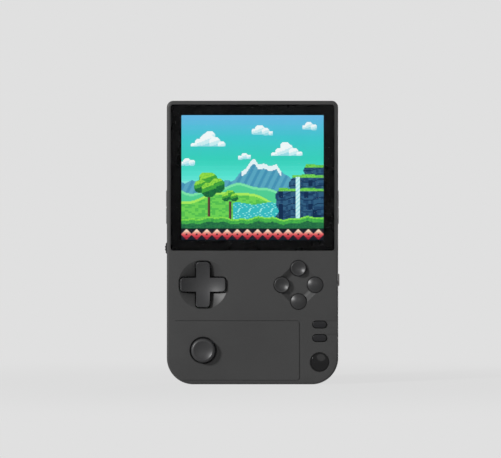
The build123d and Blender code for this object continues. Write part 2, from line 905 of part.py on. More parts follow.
def make_processor_shield():
    """A pressed metal can over the processor, open towards the board."""
    half_w = shield_width / 2
    half_h = shield_height / 2
    can = block(-half_w, half_w, board_back_y, board_back_y + shield_thickness,
                processor_z - half_h, processor_z + half_h)
    return can - block(-half_w + shield_wall, half_w - shield_wall,
                       board_back_y - overrun, board_back_y + shield_thickness - shield_wall,
                       processor_z - half_h + shield_wall, processor_z + half_h - shield_wall)


def make_thermal_pad():
    half = processor_size / 2 - shield_wall
    return block(-half, half, board_back_y + processor_thickness + thermal_pad_gap,
                 board_back_y + shield_thickness - shield_wall - thermal_pad_gap,
                 processor_z - half, processor_z + half)


# Battery and speaker

def make_battery_cell():
    outline = Pos(0, battery_low + battery_height / 2) * Rectangle(battery_width, battery_height)
    back = rear_wall_y - battery_pad_thickness
    cell = slab(outline, back - battery_thickness, back)
    return chamfer(cell.edges().filter_by(Axis.Z), battery_corner)


def make_battery_pad():
    outline = Pos(0, battery_low + battery_height / 2) * Rectangle(
        battery_width - 2 * battery_pad_margin, battery_height - 2 * battery_pad_margin)
    return slab(outline, rear_wall_y - battery_pad_thickness, rear_wall_y)


def make_speaker():
    """The driver in its frame, with a hollow cone that faces the grille."""
    back = rear_wall_y - speaker_gasket_thickness
    outline = Pos(speaker_x, speaker_z) * clipped(speaker_width, speaker_height, speaker_corner)
    driver = slab(outline, back - speaker_thickness, back)
    driver -= post(speaker_x, speaker_z, speaker_cone_radius, back - speaker_cone_depth, back + overrun)
    return driver + post(speaker_x, speaker_z, speaker_cap_radius, back - speaker_cone_depth,
                         back - speaker_cone_depth / 2)


def make_speaker_gasket():
    width = speaker_width - 2 * speaker_corner
    height = speaker_height - speaker_gasket_width
    ring = Rectangle(width, height) - Rectangle(width - 2 * speaker_gasket_width,
                                                height - 2 * speaker_gasket_width)
    return slab(Pos(speaker_x, speaker_z) * ring, rear_wall_y - speaker_gasket_thickness, rear_wall_y)


# Ports, jack and card sockets

def charging_port(x, mouth_z, inward):
    """A port's steel sleeve with its tongue; inward is 1 for a port that reaches up from its mouth."""
    sleeve = port_outline(0) - port_outline(-port_wall)
    low, high = sorted((mouth_z, mouth_z + inward * port_depth))
    port = prism(Pos(x, port_mid_y) * sleeve, low, high)
    floor = mouth_z + inward * port_depth
    low, high = sorted((floor, floor - inward * port_tongue_margin))
    port += prism(Pos(x, port_mid_y) * port_outline(-port_wall / 2), low, high)
    half = port_width / 2 - port_tongue_margin
    low, high = sorted((floor, mouth_z + inward * port_tongue_margin))
    port += block(x - half, x + half, port_mid_y - port_tongue_thickness / 2,
                  port_mid_y + port_tongue_thickness / 2, low, high)
    return port


def make_usb_port_bottom():
    return charging_port(bottom_port_x, port_recess, 1)


def make_usb_port_top():
    return charging_port(top_port_x, body_height - port_recess, -1)


def make_headphone_jack():
    low = side_wall + contact_gap
    half = jack_body_width / 2
    jack = block(jack_x - half, jack_x + half, board_back_y, board_back_y + jack_body_depth,
                 low, low + jack_body_length)
    jack += bar_z(jack_x, jack_mid_y, jack_recess, low + overrun, jack_nose_radius)
    return jack - bar_z(jack_x, jack_mid_y, -overrun, low + jack_body_length - side_wall, jack_bore_radius)


def make_card_sockets():
    """Two flat card sockets on the board's back, mouths at the side walls."""
    sockets = []
    half = card_socket_length / 2
    mouth_half = card_slot_length / 2
    back = board_back_y + card_socket_thickness
    for side in (-1, 1):
        outer = half_width - card_socket_recess
        socket = block(outer - card_socket_depth, outer, board_back_y, back,
                       card_height - half, card_height + half)
        socket -= block(outer - card_socket_depth + card_socket_recess, outer + overrun,
                        board_back_y + card_mouth_wall, back - card_mouth_wall,
                        card_height - mouth_half, card_height + mouth_half)
        sockets.append(socket if side > 0 else mirror(socket, Plane.YZ))
    return sockets


# Rubber membranes

def dome(x, z, top_y):
    return post(x, z, dome_radius, top_y, sheet_front_y + sheet_thickness / 2)


def make_pad_membrane():
    sheet = post(pad_x, pad_height, pad_sheet_radius, sheet_front_y, board_front_y)
    for dx, dz in ((1, 0), (-1, 0), (0, 1), (0, -1)):
        sheet += dome(pad_x + dx * pad_dome_reach, pad_height + dz * pad_dome_reach,
                      pad_flange_back_y + contact_gap)
    return sheet - post(pad_x, pad_height, pad_boss_radius + ball_hole_gap, face_y, back_y)


def make_button_membrane():
    sheet = post(cluster_x, cluster_height, cluster_sheet_radius, sheet_front_y, board_front_y)
    for x, z in cluster_places.values():
        sheet += dome(x, z, button_stem_back_y + contact_gap)
    return sheet


def make_system_membrane():
    rim = dome_radius + system_sheet_rim
    half = system_sheet_width / 2
    sheet = block(pill_x - half, pill_x + half, sheet_front_y, board_front_y,
                  menu_height - rim, select_height + rim)
    for x, z in ((pill_x, select_height), (pill_x, start_height), (menu_x, menu_height)):
        sheet += dome(x, z, button_stem_back_y + contact_gap)
    return sheet


# Four-way pad

def make_pad():
    """The cross with its hollow top, its flange and the socket it rocks on."""
    top_y = face_y - pad_proud
    pad = slab(pad_outline(0), top_y, pad_flange_back_y)
    pad = chamfer(pad.faces().sort_by(Axis.Y)[0].edges(), pad_edge_bevel)
    hollow = cap_sphere_radius(pad_span / 2, pad_hollow)
    pad -= ball(pad_x, top_y + pad_hollow - hollow, pad_height, hollow)
    pad += post(pad_x, pad_height, pad_flange_radius, pad_flange_front_y, pad_flange_back_y)
    pad += post(pad_x, pad_height, pad_boss_radius, pad_flange_back_y - pad_flange_thickness / 2, pad_ball_y)
    socket = pad_ball_radius + pad_ball_gap
    hole = Pos(pad_x, pad_height) * pivot_section(socket)
    return pad - slab(hole, pad_ball_y - socket, pad_ball_y + overrun)


def make_pad_ball():
    """The ball that the pad rocks on, as a cube with its edges cut wide."""
    corner_share = math.sqrt(2) - 1
    half = pad_ball_radius / math.hypot(1, corner_share, corner_share)
    cube = Box(2 * half, 2 * half, 2 * half)
    return Pos(pad_x, pad_ball_y, pad_height) * chamfer(cube.edges(), half * first_bevel_share)


# Buttons on the face

def make_face_button(name):
    """A round button; the top and left ones are hollow, the others are domed."""
    x, z = cluster_places[name]
    top_y = face_y - button_proud
    if name in hollow_buttons:
        cap = rod(x, z, button_radius, top_y, wall_y + button_flange_gap)
        cap = chamfer(cap.faces().sort_by(Axis.Y)[0].edges(), button_edge_bevel)
        radius = cap_sphere_radius(button_radius - button_edge_bevel, button_hollow)
        cap -= ball(x, top_y + button_hollow - radius, z, radius)
    else:
        radius = cap_sphere_radius(button_radius, button_dome)
        cap = rod(x, z, button_radius, top_y - overrun, wall_y + button_flange_gap)
        cap &= ball(x, top_y + radius, z, radius)
    cap += post(x, z, button_flange_radius, wall_y + button_flange_gap, button_flange_back_y)
    return cap + post(x, z, button_stem_radius, button_flange_back_y, button_stem_back_y)


def make_pill(z):
    top_y = face_y - pill_proud
    cap = slab(pill_outline(z, 0), top_y, wall_y + button_flange_gap)
    cap = chamfer(cap.faces().sort_by(Axis.Y)[0].edges(), pill_edge_bevel)
    rim = Pos(pill_x, z) * Rectangle(pill_length + 2 * pill_flange_rim, pill_width + 2 * pill_flange_rim)
    cap += slab(rim, wall_y + button_flange_gap, button_flange_back_y)
    return cap + post(pill_x, z, button_stem_radius, button_flange_back_y, button_stem_back_y)


def make_menu_button():
    top_y = face_y - menu_proud
    radius = cap_sphere_radius(menu_radius, menu_dome)
    cap = rod(menu_x, menu_height, menu_radius, top_y - overrun, wall_y + button_flange_gap)
    cap &= ball(menu_x, top_y + radius, menu_height, radius)
    cap += post(menu_x, menu_height, menu_radius + menu_flange_rim, wall_y + button_flange_gap,
                button_flange_back_y)
    return cap + post(menu_x, menu_height, button_stem_radius, button_flange_back_y, button_stem_back_y)


# Thumbstick

def make_stick_housing():
    """The gimbal's case, set in the board's cut-out, with tabs on the board's front."""
    half = stick_housing_width / 2
    front = stick_pivot_y - stick_housing_front
    back = stick_pivot_y + stick_housing_back
    inner = half - stick_housing_wall
    case = block(stick_x - half, stick_x + half, front, back, stick_height - half, stick_height + half)
    case -= block(stick_x - inner, stick_x + inner, front + stick_housing_plate, back - stick_housing_plate,
                  stick_height - inner, stick_height + inner)
    case -= post(stick_x, stick_height, stick_mouth_radius, front - overrun, stick_pivot_y, pocket_sides)
    tab = stick_housing_reach
    rim = block(stick_x - tab, stick_x + tab, stick_pad_y, board_front_y,
                stick_height - tab, stick_height + tab)
    rim -= block(stick_x - inner, stick_x + inner, stick_pad_y - overrun, board_front_y + overrun,
                 stick_height - inner, stick_height + inner)
    case += rim
    bore = pivot_section(trunnion_radius + trunnion_gap)
    case -= beam(Pos(stick_pivot_y, stick_height) * bore, stick_x - half, stick_x + half)
    return case - prism(Pos(stick_x, stick_pivot_y) * bore, stick_height - half, stick_height + half)


def make_stick_cross():
    """The lower yoke: a bar along X with a slotted block in the middle."""
    cross = block(stick_x - cross_half_length, stick_x + cross_half_length,
                  stick_pivot_y - cross_half_depth, stick_pivot_y + cross_half_depth,
                  stick_height - cross_half_width, stick_height + cross_half_width)
    reach = stick_housing_width / 2 - trunnion_end_gap
    cross += bar_x(stick_x - reach, stick_x + reach, stick_pivot_y, stick_height, trunnion_radius)
    slot_half = stick_shaft_radius + slot_gap
    cross -= block(stick_x - cross_slot_half_length, stick_x + cross_slot_half_length,
                   stick_pivot_y - cross_half_depth - overrun, stick_pivot_y + cross_half_depth + overrun,
                   stick_height - slot_half, stick_height + slot_half)
    hole = Pos(stick_x, stick_pivot_y) * pivot_section(stick_pin_radius + pin_seat_gap)
    half = cross_half_width + overrun
    return cross - prism(hole, stick_height - half, stick_height + half)


def make_stick_pin():
    return bar_z(stick_x, stick_pivot_y, stick_height - cross_half_width, stick_height + cross_half_width,
                 stick_pin_radius)


def make_stick_arch():
    """The upper yoke: a slotted bow along Z over the cross, turning about Z."""
    left = stick_x - arch_half_width
    right = stick_x + arch_half_width
    ring = RegularPolygon(arch_outer_radius, pocket_sides) - RegularPolygon(arch_inner_radius, pocket_sides)
    bow = beam(Pos(stick_pivot_y, stick_height) * ring, left, right)
    bow &= block(left, right, stick_pivot_y - arch_outer_radius, stick_pivot_y + trunnion_radius / 2,
                 stick_height - arch_outer_radius, stick_height + arch_outer_radius)
    reach = stick_housing_width / 2 - trunnion_end_gap
    middle = (arch_inner_radius + arch_outer_radius) / 2
    for side in (-1, 1):
        low, high = sorted((stick_height + side * middle, stick_height + side * reach))
        bow += bar_z(stick_x, stick_pivot_y, low, high, trunnion_radius)
    slot_half = stick_shaft_radius + slot_gap
    return bow - block(stick_x - slot_half, stick_x + slot_half,
                       stick_pivot_y - arch_outer_radius - overrun, stick_pivot_y,
                       stick_height - arch_slot_half_length, stick_height + arch_slot_half_length)


def make_stick_shaft():
    shaft = post(stick_x, stick_height, stick_shaft_radius, stick_pivot_y - stick_neck_start,
                 stick_pivot_y + stick_tail)
    shaft += post(stick_x, stick_height, stick_stem_radius, stick_pivot_y - stick_stem_reach,
                  stick_pivot_y - stick_neck_start)
    hole = Pos(stick_x, stick_pivot_y) * pivot_section(stick_pin_radius + stick_pin_gap)
    return shaft - prism(hole, stick_height - overrun, stick_height + overrun)


def make_stick_cap():
    """The mushroom cap about the stick's axis: a neck, and a disc with a bevelled rim and a hollow top."""
    top = stick_pivot_y - face_y + stick_cap_proud
    rim_low = top - stick_rim_height
    cap = rod(0, 0, stick_cap_radius, -top, -rim_low)
    cap = chamfer(cap.faces().sort_by(Axis.Y)[0].edges(), stick_rim_bevel)
    hollow = cap_sphere_radius(stick_cap_radius - stick_rim_bevel - stick_rim_land, stick_hollow)
    cap -= ball(0, -top + stick_hollow - hollow, 0, hollow)
    cap += post(0, 0, stick_neck_radius, -rim_low, -stick_neck_start, pocket_sides)
    cap -= post(0, 0, stick_stem_radius + stick_stem_gap, -stick_stem_reach - contact_gap, 0)
    return Pos(stick_x, stick_pivot_y, stick_height) * cap


def make_stick_sensors():
    """A flat position sensor on two sides of the housing, one for each yoke."""
    half = stick_housing_width / 2
    side = half + sensor_thickness
    front = stick_pivot_y - sensor_radius
    return [
        block(stick_x + half, stick_x + side, front, stick_pad_y, stick_height - sensor_radius,
              stick_height + sensor_radius),
        block(stick_x - sensor_radius, stick_x + sensor_radius, front, stick_pad_y, stick_height + half,
              stick_height + side),
    ]


# Volume wheel

def make_volume_wheel():
    front = parting_y - wheel_thickness / 2
    back = parting_y + wheel_thickness / 2
    pitch = 2 * math.pi / wheel_teeth
    root = wheel_radius - tooth_depth
    points = []
    for number in range(wheel_teeth):
        for share, radius in zip(tooth_shares, (root, wheel_radius, wheel_radius, root)):
            angle = (number + share) * pitch
            points.append((radius * math.cos(angle), radius * math.sin(angle)))
    outline = Pos(wheel_x, wheel_height) * make_face(Polyline(*points, close=True))
    bore = rod(wheel_x, wheel_height, wheel_bore_radius, front - overrun, back + overrun)
    return slab(outline, front, back) - bore


def make_volume_pot():
    """The wheel's turning resistor: a base on the board, a post and a head over the wheel."""
    front = parting_y - wheel_thickness / 2
    back = parting_y + wheel_thickness / 2
    axle = wheel_bore_radius - wheel_post_gap
    pot = post(wheel_x, wheel_height, pot_radius, board_back_y, front - contact_gap)
    pot += rod(wheel_x, wheel_height, axle, board_back_y, back + contact_gap + pot_head_height)
    return pot + post(wheel_x, wheel_height, pot_head_radius, back + contact_gap,
                      back + contact_gap + pot_head_height)


# Power button

def power_solid(grow, x0, x1):
    """The power button's outline, grown on every side, as a solid from x0 to x1."""
    outline = clipped(power_length + 2 * grow, power_width + 2 * grow, power_corner + grow / 2)
    return Pos(x0, parting_y, power_height) * Rot(0, 90, 0) * extrude(outline, amount=x1 - x0)


def make_power_button():
    wall = half_width - side_wall - power_flange_gap
    flange = wall - power_flange_thickness
    button = power_solid(0, flange, half_width + power_proud)
    button = chamfer(button.faces().sort_by(Axis.X)[-1].edges(), pill_edge_bevel)
    half_length = power_length / 2 + power_flange_rim
    half = power_width / 2 + power_flange_rim
    button += block(flange, wall, parting_y - half, parting_y + half,
                    power_height - half_length, power_height + half_length)
    return button + block(flange - power_stem_length, flange, parting_y - power_stem_radius,
                          parting_y + power_stem_radius, power_height - power_stem_radius,
                          power_height + power_stem_radius)


def make_power_switch():
    stem_end = half_width - side_wall - power_flange_gap - power_flange_thickness - power_stem_length
    face = stem_end - power_switch_gap
    half_height = power_switch_height / 2
    return block(face - power_switch_length, face, board_back_y, board_back_y + power_switch_depth,
                 power_height - half_height, power_height + half_height)


# Shoulder buttons

def shoulder_section():
    """A shoulder button's skin round the rear corner, seen along Z, on the right side."""
    outer = half_width + shoulder_proud
    back = back_y + shoulder_proud
    inner = half_width - shoulder_inner_reach
    front = skin_front_y
    corner = rear_edge_radius + shoulder_proud
    lines = [
        Line((inner, back), (outer - corner, back)),
        RadiusArc((outer - corner, back), (outer, back - corner), corner),
        Line((outer, back - corner), (outer, front)),
        Line((outer, front), (outer - shoulder_skin, front)),
        Line((outer - shoulder_skin, front), (outer - shoulder_skin, back - corner)),
        RadiusArc((outer - shoulder_skin, back - corner), (outer - corner, back - shoulder_skin),
                  -(corner - shoulder_skin)),
        Line((outer - corner, back - shoulder_skin), (inner, back - shoulder_skin)),
        Line((inner, back - shoulder_skin), (inner, back)),
    ]
    return make_face(lines)


def make_shoulder(side, low, high, taper_high, barrel_low):
    """One shoulder button: skin, end leg, arm, barrel, inner skirt and the rib over its dome."""
    outer = half_width + shoulder_proud
    back = back_y + shoulder_proud
    inner = half_width - shoulder_inner_reach
    arm_front_y = shoulder_pivot_y - arm_thickness / 2
    button = prism(shoulder_section(), low, taper_high)
    barrel_high = barrel_low + barrel_length
    button += block(inner, inner + shoulder_skin, arm_front_y, back - shoulder_skin / 2,
                    barrel_low, barrel_high)
    button += block(shoulder_pivot_x, inner + shoulder_skin, arm_front_y, arm_front_y + arm_thickness,
                    barrel_low, barrel_high)
    pivot = Pos(shoulder_pivot_x, shoulder_pivot_y)
    button += prism(pivot * pivot_section(barrel_radius), barrel_low, barrel_high)
    skirt_x = half_width - side_wall - skirt_wall_gap
    button += block(skirt_x - skirt_thickness, outer - shoulder_skin / 2, skin_front_y,
                    skin_front_y + skirt_thickness, low, high)
    button += block(skirt_x - skirt_thickness, skirt_x, shoulder_front_y - skirt_overlap - skirt_thickness,
                    skin_front_y + skirt_thickness, low, high)
    rib_x = half_width - rib_reach
    rib_low = barrel_low + barrel_length / 4
    button += block(rib_x, rib_x + rib_thickness, shoulder_dome_y + contact_gap, back - shoulder_skin / 2,
                    rib_low, rib_low + barrel_length / 2)
    bore = pivot * pivot_section(pin_radius + pin_gap)
    button -= prism(bore, barrel_low - overrun, barrel_high + overrun)
    if taper_high > high:
        button &= shoulder_taper(high, taper_high)
    return button if side > 0 else mirror(button, Plane.YZ)


def shoulder_taper(high, taper_high):
    """The room that slopes the upper button's top end down to the body's surface."""
    outer = half_width + shoulder_proud
    back = back_y + shoulder_proud
    side_view = make_face(Polyline(
        (0, 0), (outer, 0), (outer, high), (half_width, taper_high), (0, taper_high), close=True))
    back_view = make_face(Polyline(
        (face_y, 0), (back, 0), (back, high), (back_y, taper_high), (face_y, taper_high), close=True))
    side_room = slab(side_view, face_y, back + overrun)
    back_room = extrude(Plane.YZ * back_view, amount=outer + overrun)
    return side_room & back_room


def make_shoulder_pins():
    pin = bar_z(shoulder_pivot_x, shoulder_pivot_y, ear_lows[0], ear_lows[-1] + ear_thickness, pin_radius)
    return [pin, mirror(pin, Plane.YZ)]


def make_shoulder_domes():
    """A rubber dome on the board under each shoulder button's rib."""
    x = half_width - rib_reach + rib_thickness / 2
    domes = []
    for z in (lower_barrel_mid, upper_barrel_mid):
        domes.append(post(x, z, shoulder_dome_radius, board_back_y, shoulder_dome_y))
    return domes + [mirror(piece, Plane.YZ) for piece in domes]


# Screws

def make_shell_screws():
    screws = []
    seat = back_y - screw_pocket_depth
    tip = wall_y + pilot_floor + screw_tip_gap
    for x, z in shell_screw_places:
        screw = post(x, z, screw_radius, tip, seat, screw_sides)
        screws.append(screw + post(x, z, screw_head_radius, seat, seat + screw_head_height, screw_sides))
    return screws


def make_board_screws():
    screws = []
    for x, z in board_screw_places:
        screw = post(x, z, board_screw_radius, board_back_y - board_screw_length, board_back_y, screw_sides)
        screws.append(screw + post(x, z, board_head_radius, board_back_y, board_back_y + board_head_height,
                                   screw_sides))
    return screws


# All nodes

def make_nodes():
    lower = (shoulder_low, shoulder_split_low, shoulder_split_low, barrel_lows[0])
    upper = (shoulder_split_high, shoulder_high, shoulder_taper_high, barrel_lows[1])
    nodes = {
        "front_shell": make_front_shell(),
        "rear_shell": make_rear_shell(),
        "screen_glass": make_screen_glass(),
        "screen_mask": make_screen_mask(),
        "lcd_panel": make_lcd_panel(),
        "lcd_backlight": make_lcd_backlight(),
        "lcd_foam": make_lcd_foam(),
        "lcd_ribbon": make_lcd_ribbon(),
        "ribbon_connector": make_ribbon_connector(),
        "main_board": make_main_board(),
        "processor": make_processor(),
        "thermal_pad": make_thermal_pad(),
        "processor_shield": make_processor_shield(),
        "battery_cell": make_battery_cell(),
        "battery_pad": make_battery_pad(),
        "speaker": make_speaker(),
        "speaker_gasket": make_speaker_gasket(),
        "usb_port_bottom": make_usb_port_bottom(),
        "usb_port_top": make_usb_port_top(),
        "headphone_jack": make_headphone_jack(),
        "card_sockets": make_card_sockets(),
        "pad_membrane": make_pad_membrane(),
        "button_membrane": make_button_membrane(),
        "system_membrane": make_system_membrane(),
        "four_way_pad": make_pad(),
        "pad_pivot_ball": make_pad_ball(),
        "select_button": make_pill(select_height),
        "start_button": make_pill(start_height),
        "menu_button": make_menu_button(),
        "stick_housing": make_stick_housing(),
        "stick_sensors": make_stick_sensors(),
        "stick_lower_yoke": make_stick_cross(),
        "stick_cross_pin": make_stick_pin(),
        "stick_upper_yoke": make_stick_arch(),
        "stick_shaft": make_stick_shaft(),
        "stick_cap": make_stick_cap(),
        "volume_wheel": make_volume_wheel(),
        "volume_pot": make_volume_pot(),
        "power_button": make_power_button(),
        "power_switch": make_power_switch(),
        "shoulder_l1": make_shoulder(-1, *upper),
        "shoulder_l2": make_shoulder(-1, *lower),
        "shoulder_r1": make_shoulder(1, *upper),
        "shoulder_r2": make_shoulder(1, *lower),
        "shoulder_pins": make_shoulder_pins(),
        "shoulder_domes": make_shoulder_domes(),
        "shell_screws": make_shell_screws(),
        "board_screws": make_board_screws(),
    }
    for name in cluster_places:
        nodes["face_button_" + name] = make_face_button(name)
    return nodes


os.makedirs("parts", exist_ok=True)
for name, solids in make_nodes().items():
    shape = Compound(children=list(solids)) if isinstance(solids, list) else solids
    export_step(shape, "parts/" + name + ".step")
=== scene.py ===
import json
import math
import bmesh
import bpy
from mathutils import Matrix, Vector


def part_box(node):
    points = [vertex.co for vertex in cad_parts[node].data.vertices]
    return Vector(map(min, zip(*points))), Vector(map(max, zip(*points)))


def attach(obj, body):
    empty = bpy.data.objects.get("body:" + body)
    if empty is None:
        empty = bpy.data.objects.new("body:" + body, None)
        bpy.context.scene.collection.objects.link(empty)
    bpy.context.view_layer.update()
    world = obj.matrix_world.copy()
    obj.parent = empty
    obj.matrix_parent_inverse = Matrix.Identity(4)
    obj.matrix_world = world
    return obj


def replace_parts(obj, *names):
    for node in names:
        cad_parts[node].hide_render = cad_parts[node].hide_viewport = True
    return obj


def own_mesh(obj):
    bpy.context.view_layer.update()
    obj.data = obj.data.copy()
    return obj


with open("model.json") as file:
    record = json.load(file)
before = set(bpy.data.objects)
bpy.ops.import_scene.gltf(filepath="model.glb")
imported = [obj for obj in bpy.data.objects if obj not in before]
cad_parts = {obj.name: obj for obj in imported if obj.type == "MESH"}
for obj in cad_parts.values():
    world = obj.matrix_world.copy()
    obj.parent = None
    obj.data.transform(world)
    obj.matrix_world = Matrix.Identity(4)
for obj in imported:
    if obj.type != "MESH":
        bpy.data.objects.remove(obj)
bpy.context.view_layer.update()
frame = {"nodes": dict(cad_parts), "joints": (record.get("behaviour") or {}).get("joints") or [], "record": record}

MM = 0.001
nodes = frame["nodes"]


# Sizes and places in millimetres, from the model where it has them: the front looks towards -Y, and Z is up

def edges(node):
    """A node's box in millimetres, as its low and its high corner."""
    return [[round(value / MM, 3) for value in corner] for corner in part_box(node)]


def middle(node):
    """The middle of a node's box as (x, z), seen from the front."""
    low, high = edges(node)
    return round((low[0] + high[0]) / 2, 2), round((low[2] + high[2]) / 2, 2)


FACE_Y, PARTING_Y = edges("front_shell")[0][1], edges("front_shell")[1][1]
BUTTON_PLACES = {side: middle("face_button_" + side) for side in ("top", "left", "right", "bottom")}
CLUSTER_X, CLUSTER_Z = BUTTON_PLACES["top"][0], BUTTON_PLACES["left"][1]
PILL_X, PILL_LENGTH, PILL_WIDTH = middle("select_button")[0], 6.5, 3.2
PILL_HEIGHTS = {label: middle(label + "_button")[1] for label in ("select", "start")}
MENU_X, MENU_Z = middle("menu_button")
PAD_X, PAD_Z = middle("four_way_pad")
PAD_REACH = PAD_X - edges("four_way_pad")[0][0]
STICK_X, STICK_Z = middle("stick_cap")
PIVOT_Y = next(joint["pos_m"][1] for joint in frame["joints"] if joint["name"] == "stick_tilt_side") / MM
SCREW_PLACES = [(side * x, z) for x, z in ((36.9, 130.4), (36.5, 55.4), (25.0, 4.4)) for side in (-1, 1)]

BUTTON_RADIUS, BUTTON_FLANGE = 3.6, 4.6
MENU_RADIUS, MENU_FLANGE = 4.15, 4.85
FLANGE_FRONT_Y, FLANGE_BACK_Y = -7.94, -7.04
STEM_RADIUS, STEM_BACK_Y = 1.7, edges("face_button_top")[1][1]

# Where the rubber domes are cut from their sheets, and how far those under the pad stand from its middle
SHEET_CUT_Y, PAD_DOME_OFFSET, SHOULDER_DOME_RADIUS = -4.94, 7.4, 1.8

# The lit picture: its edges, its plane just before the panel, and its grid of cells
PICTURE_LEFT, PICTURE_RIGHT = -33.6, 33.6
PICTURE_TOP, PICTURE_BOTTOM = 127.2, 68.1
PICTURE_Y = edges("lcd_panel")[0][1] - 0.015
COLUMNS, ROWS = 168, 148
CELL_WIDTH = (PICTURE_RIGHT - PICTURE_LEFT) / COLUMNS
CELL_HEIGHT = (PICTURE_TOP - PICTURE_BOTTOM) / ROWS


# Materials

def linear(*rgb):
    """Display colours from 0 to 255, as linear light."""
    out = []
    for value in rgb:
        share = value / 255
        out.append(share / 12.92 if share <= 0.04045 else ((share + 0.055) / 1.055) ** 2.4)
    return (*out, 1.0)


# Sockets of a Mix node that mixes colours
MIX_FACTOR, MIX_FIRST, MIX_SECOND, MIX_RESULT = 0, 6, 7, 2


class Sheet:
    """A material's node tree with short helpers, which pass sockets on. Its lengths are in metres."""

    def __init__(self, name):
        self.material = bpy.data.materials.new(name)
        self.material.use_nodes = True
        self.tree = self.material.node_tree
        self.shader = self.tree.nodes["Principled BSDF"]
        self.coords = self.add("ShaderNodeTexCoord").outputs["Object"]

    def add(self, kind, **inputs):
        node = self.tree.nodes.new(kind)
        for key, value in inputs.items():
            node.inputs[key.replace("_", " ")].default_value = value
        return node

    def link(self, source, target):
        self.tree.links.new(source, target)

    def set(self, **values):
        for key, value in values.items():
            self.shader.inputs[key.replace("_", " ")].default_value = value

    def noise(self, scale, detail=2.0, roughness=0.5, stretch=None):
        """Cloudy noise from 0 to 1, drawn out where stretch is below its other values."""
        node = self.add("ShaderNodeTexNoise", Scale=scale, Detail=detail, Roughness=roughness)
        source = self.coords
        if stretch:
            mapping = self.add("ShaderNodeMapping")
            mapping.inputs["Scale"].default_value = stretch
            self.link(source, mapping.inputs["Vector"])
            source = mapping.outputs["Vector"]
        self.link(source, node.inputs["Vector"])
        return node.outputs["Fac"]

    def ramp(self, source, low, high, start=0.3, end=0.7):
        """A colour between two, by a value between start and end."""
        node = self.add("ShaderNodeValToRGB")
        node.color_ramp.elements[0].position = start
        node.color_ramp.elements[1].position = end
        node.color_ramp.elements[0].color = low
        node.color_ramp.elements[1].color = high
        self.link(source, node.inputs["Fac"])
        return node.outputs["Color"]

    def span(self, source, low, high):
        """A value from 0 to 1, brought to another range."""
        node = self.add("ShaderNodeMapRange")
        node.inputs["To Min"].default_value = low
        node.inputs["To Max"].default_value = high
        self.link(source, node.inputs["Value"])
        return node.outputs["Result"]

    def bump(self, height, strength, distance):
        """Bumps add up: each new one lies on the one before."""
        node = self.add("ShaderNodeBump")
        node.inputs["Strength"].default_value = strength
        node.inputs["Distance"].default_value = distance
        self.link(height, node.inputs["Height"])
        if self.shader.inputs["Normal"].links:
            self.link(self.shader.inputs["Normal"].links[0].from_socket, node.inputs["Normal"])
        self.link(node.outputs["Normal"], self.shader.inputs["Normal"])

    def math(self, operation, first, second=None):
        node = self.add("ShaderNodeMath")
        node.operation = operation
        for socket, value in zip(node.inputs, (first, second)):
            if isinstance(value, (int, float)):
                socket.default_value = value
            elif value is not None:
                self.link(value, socket)
        return node.outputs["Value"]

    def axes(self):
        """A point's X, Y and Z."""
        node = self.add("ShaderNodeSeparateXYZ")
        self.link(self.coords, node.inputs["Vector"])
        return node.outputs["X"], node.outputs["Y"], node.outputs["Z"]

    def from_axis(self, x, z):
        """Distance from a line along Y, in metres."""
        px, _, pz = self.axes()
        dx, dz = self.math("SUBTRACT", px, x), self.math("SUBTRACT", pz, z)
        squares = self.math("ADD", self.math("MULTIPLY", dx, dx), self.math("MULTIPLY", dz, dz))
        return self.math("SQRT", squares)

    def step(self, source, low, high, kind="SMOOTHSTEP"):
        """A rise from 0 to 1 between two values."""
        node = self.add("ShaderNodeMapRange")
        node.interpolation_type = kind
        node.inputs["From Min"].default_value = low
        node.inputs["From Max"].default_value = high
        self.link(source, node.inputs["Value"])
        return node.outputs["Result"]

    def darken(self, mask, rgb):
        """Lays a colour over the base colour where the mask is 1."""
        node = self.add("ShaderNodeMix")
        node.data_type = "RGBA"
        node.inputs[MIX_SECOND].default_value = linear(*rgb)
        self.link(self.shader.inputs["Base Color"].links[0].from_socket, node.inputs[MIX_FIRST])
        self.link(mask, node.inputs[MIX_FACTOR])
        self.link(node.outputs[MIX_RESULT], self.shader.inputs["Base Color"])


def shade(color, factor):
    """A linear colour, made lighter or darker."""
    return (color[0] * factor, color[1] * factor, color[2] * factor, 1.0)


def plastic_sheet(name, rgb, roughness, grain=5200.0, depth=0.000012, mottle=0.06, specular=0.35):
    """Moulded plastic: a fine spark-eroded grain and slow, slight changes of tone and sheen."""
    sheet = Sheet(name)
    color = linear(*rgb)
    tone = sheet.ramp(sheet.noise(45.0, 3.0), shade(color, 1 - mottle), shade(color, 1 + mottle))
    sheet.link(tone, sheet.shader.inputs["Base Color"])
    sheet.link(sheet.span(sheet.noise(130.0, 2.0), roughness - 0.06, roughness + 0.06),
               sheet.shader.inputs["Roughness"])
    sheet.set(Specular_IOR_Level=specular)
    sheet.bump(sheet.noise(grain, 2.0), 0.35, depth)
    return sheet


def plastic(*values, **named):
    """The material of a plastic that needs nothing more."""
    return plastic_sheet(*values, **named).material


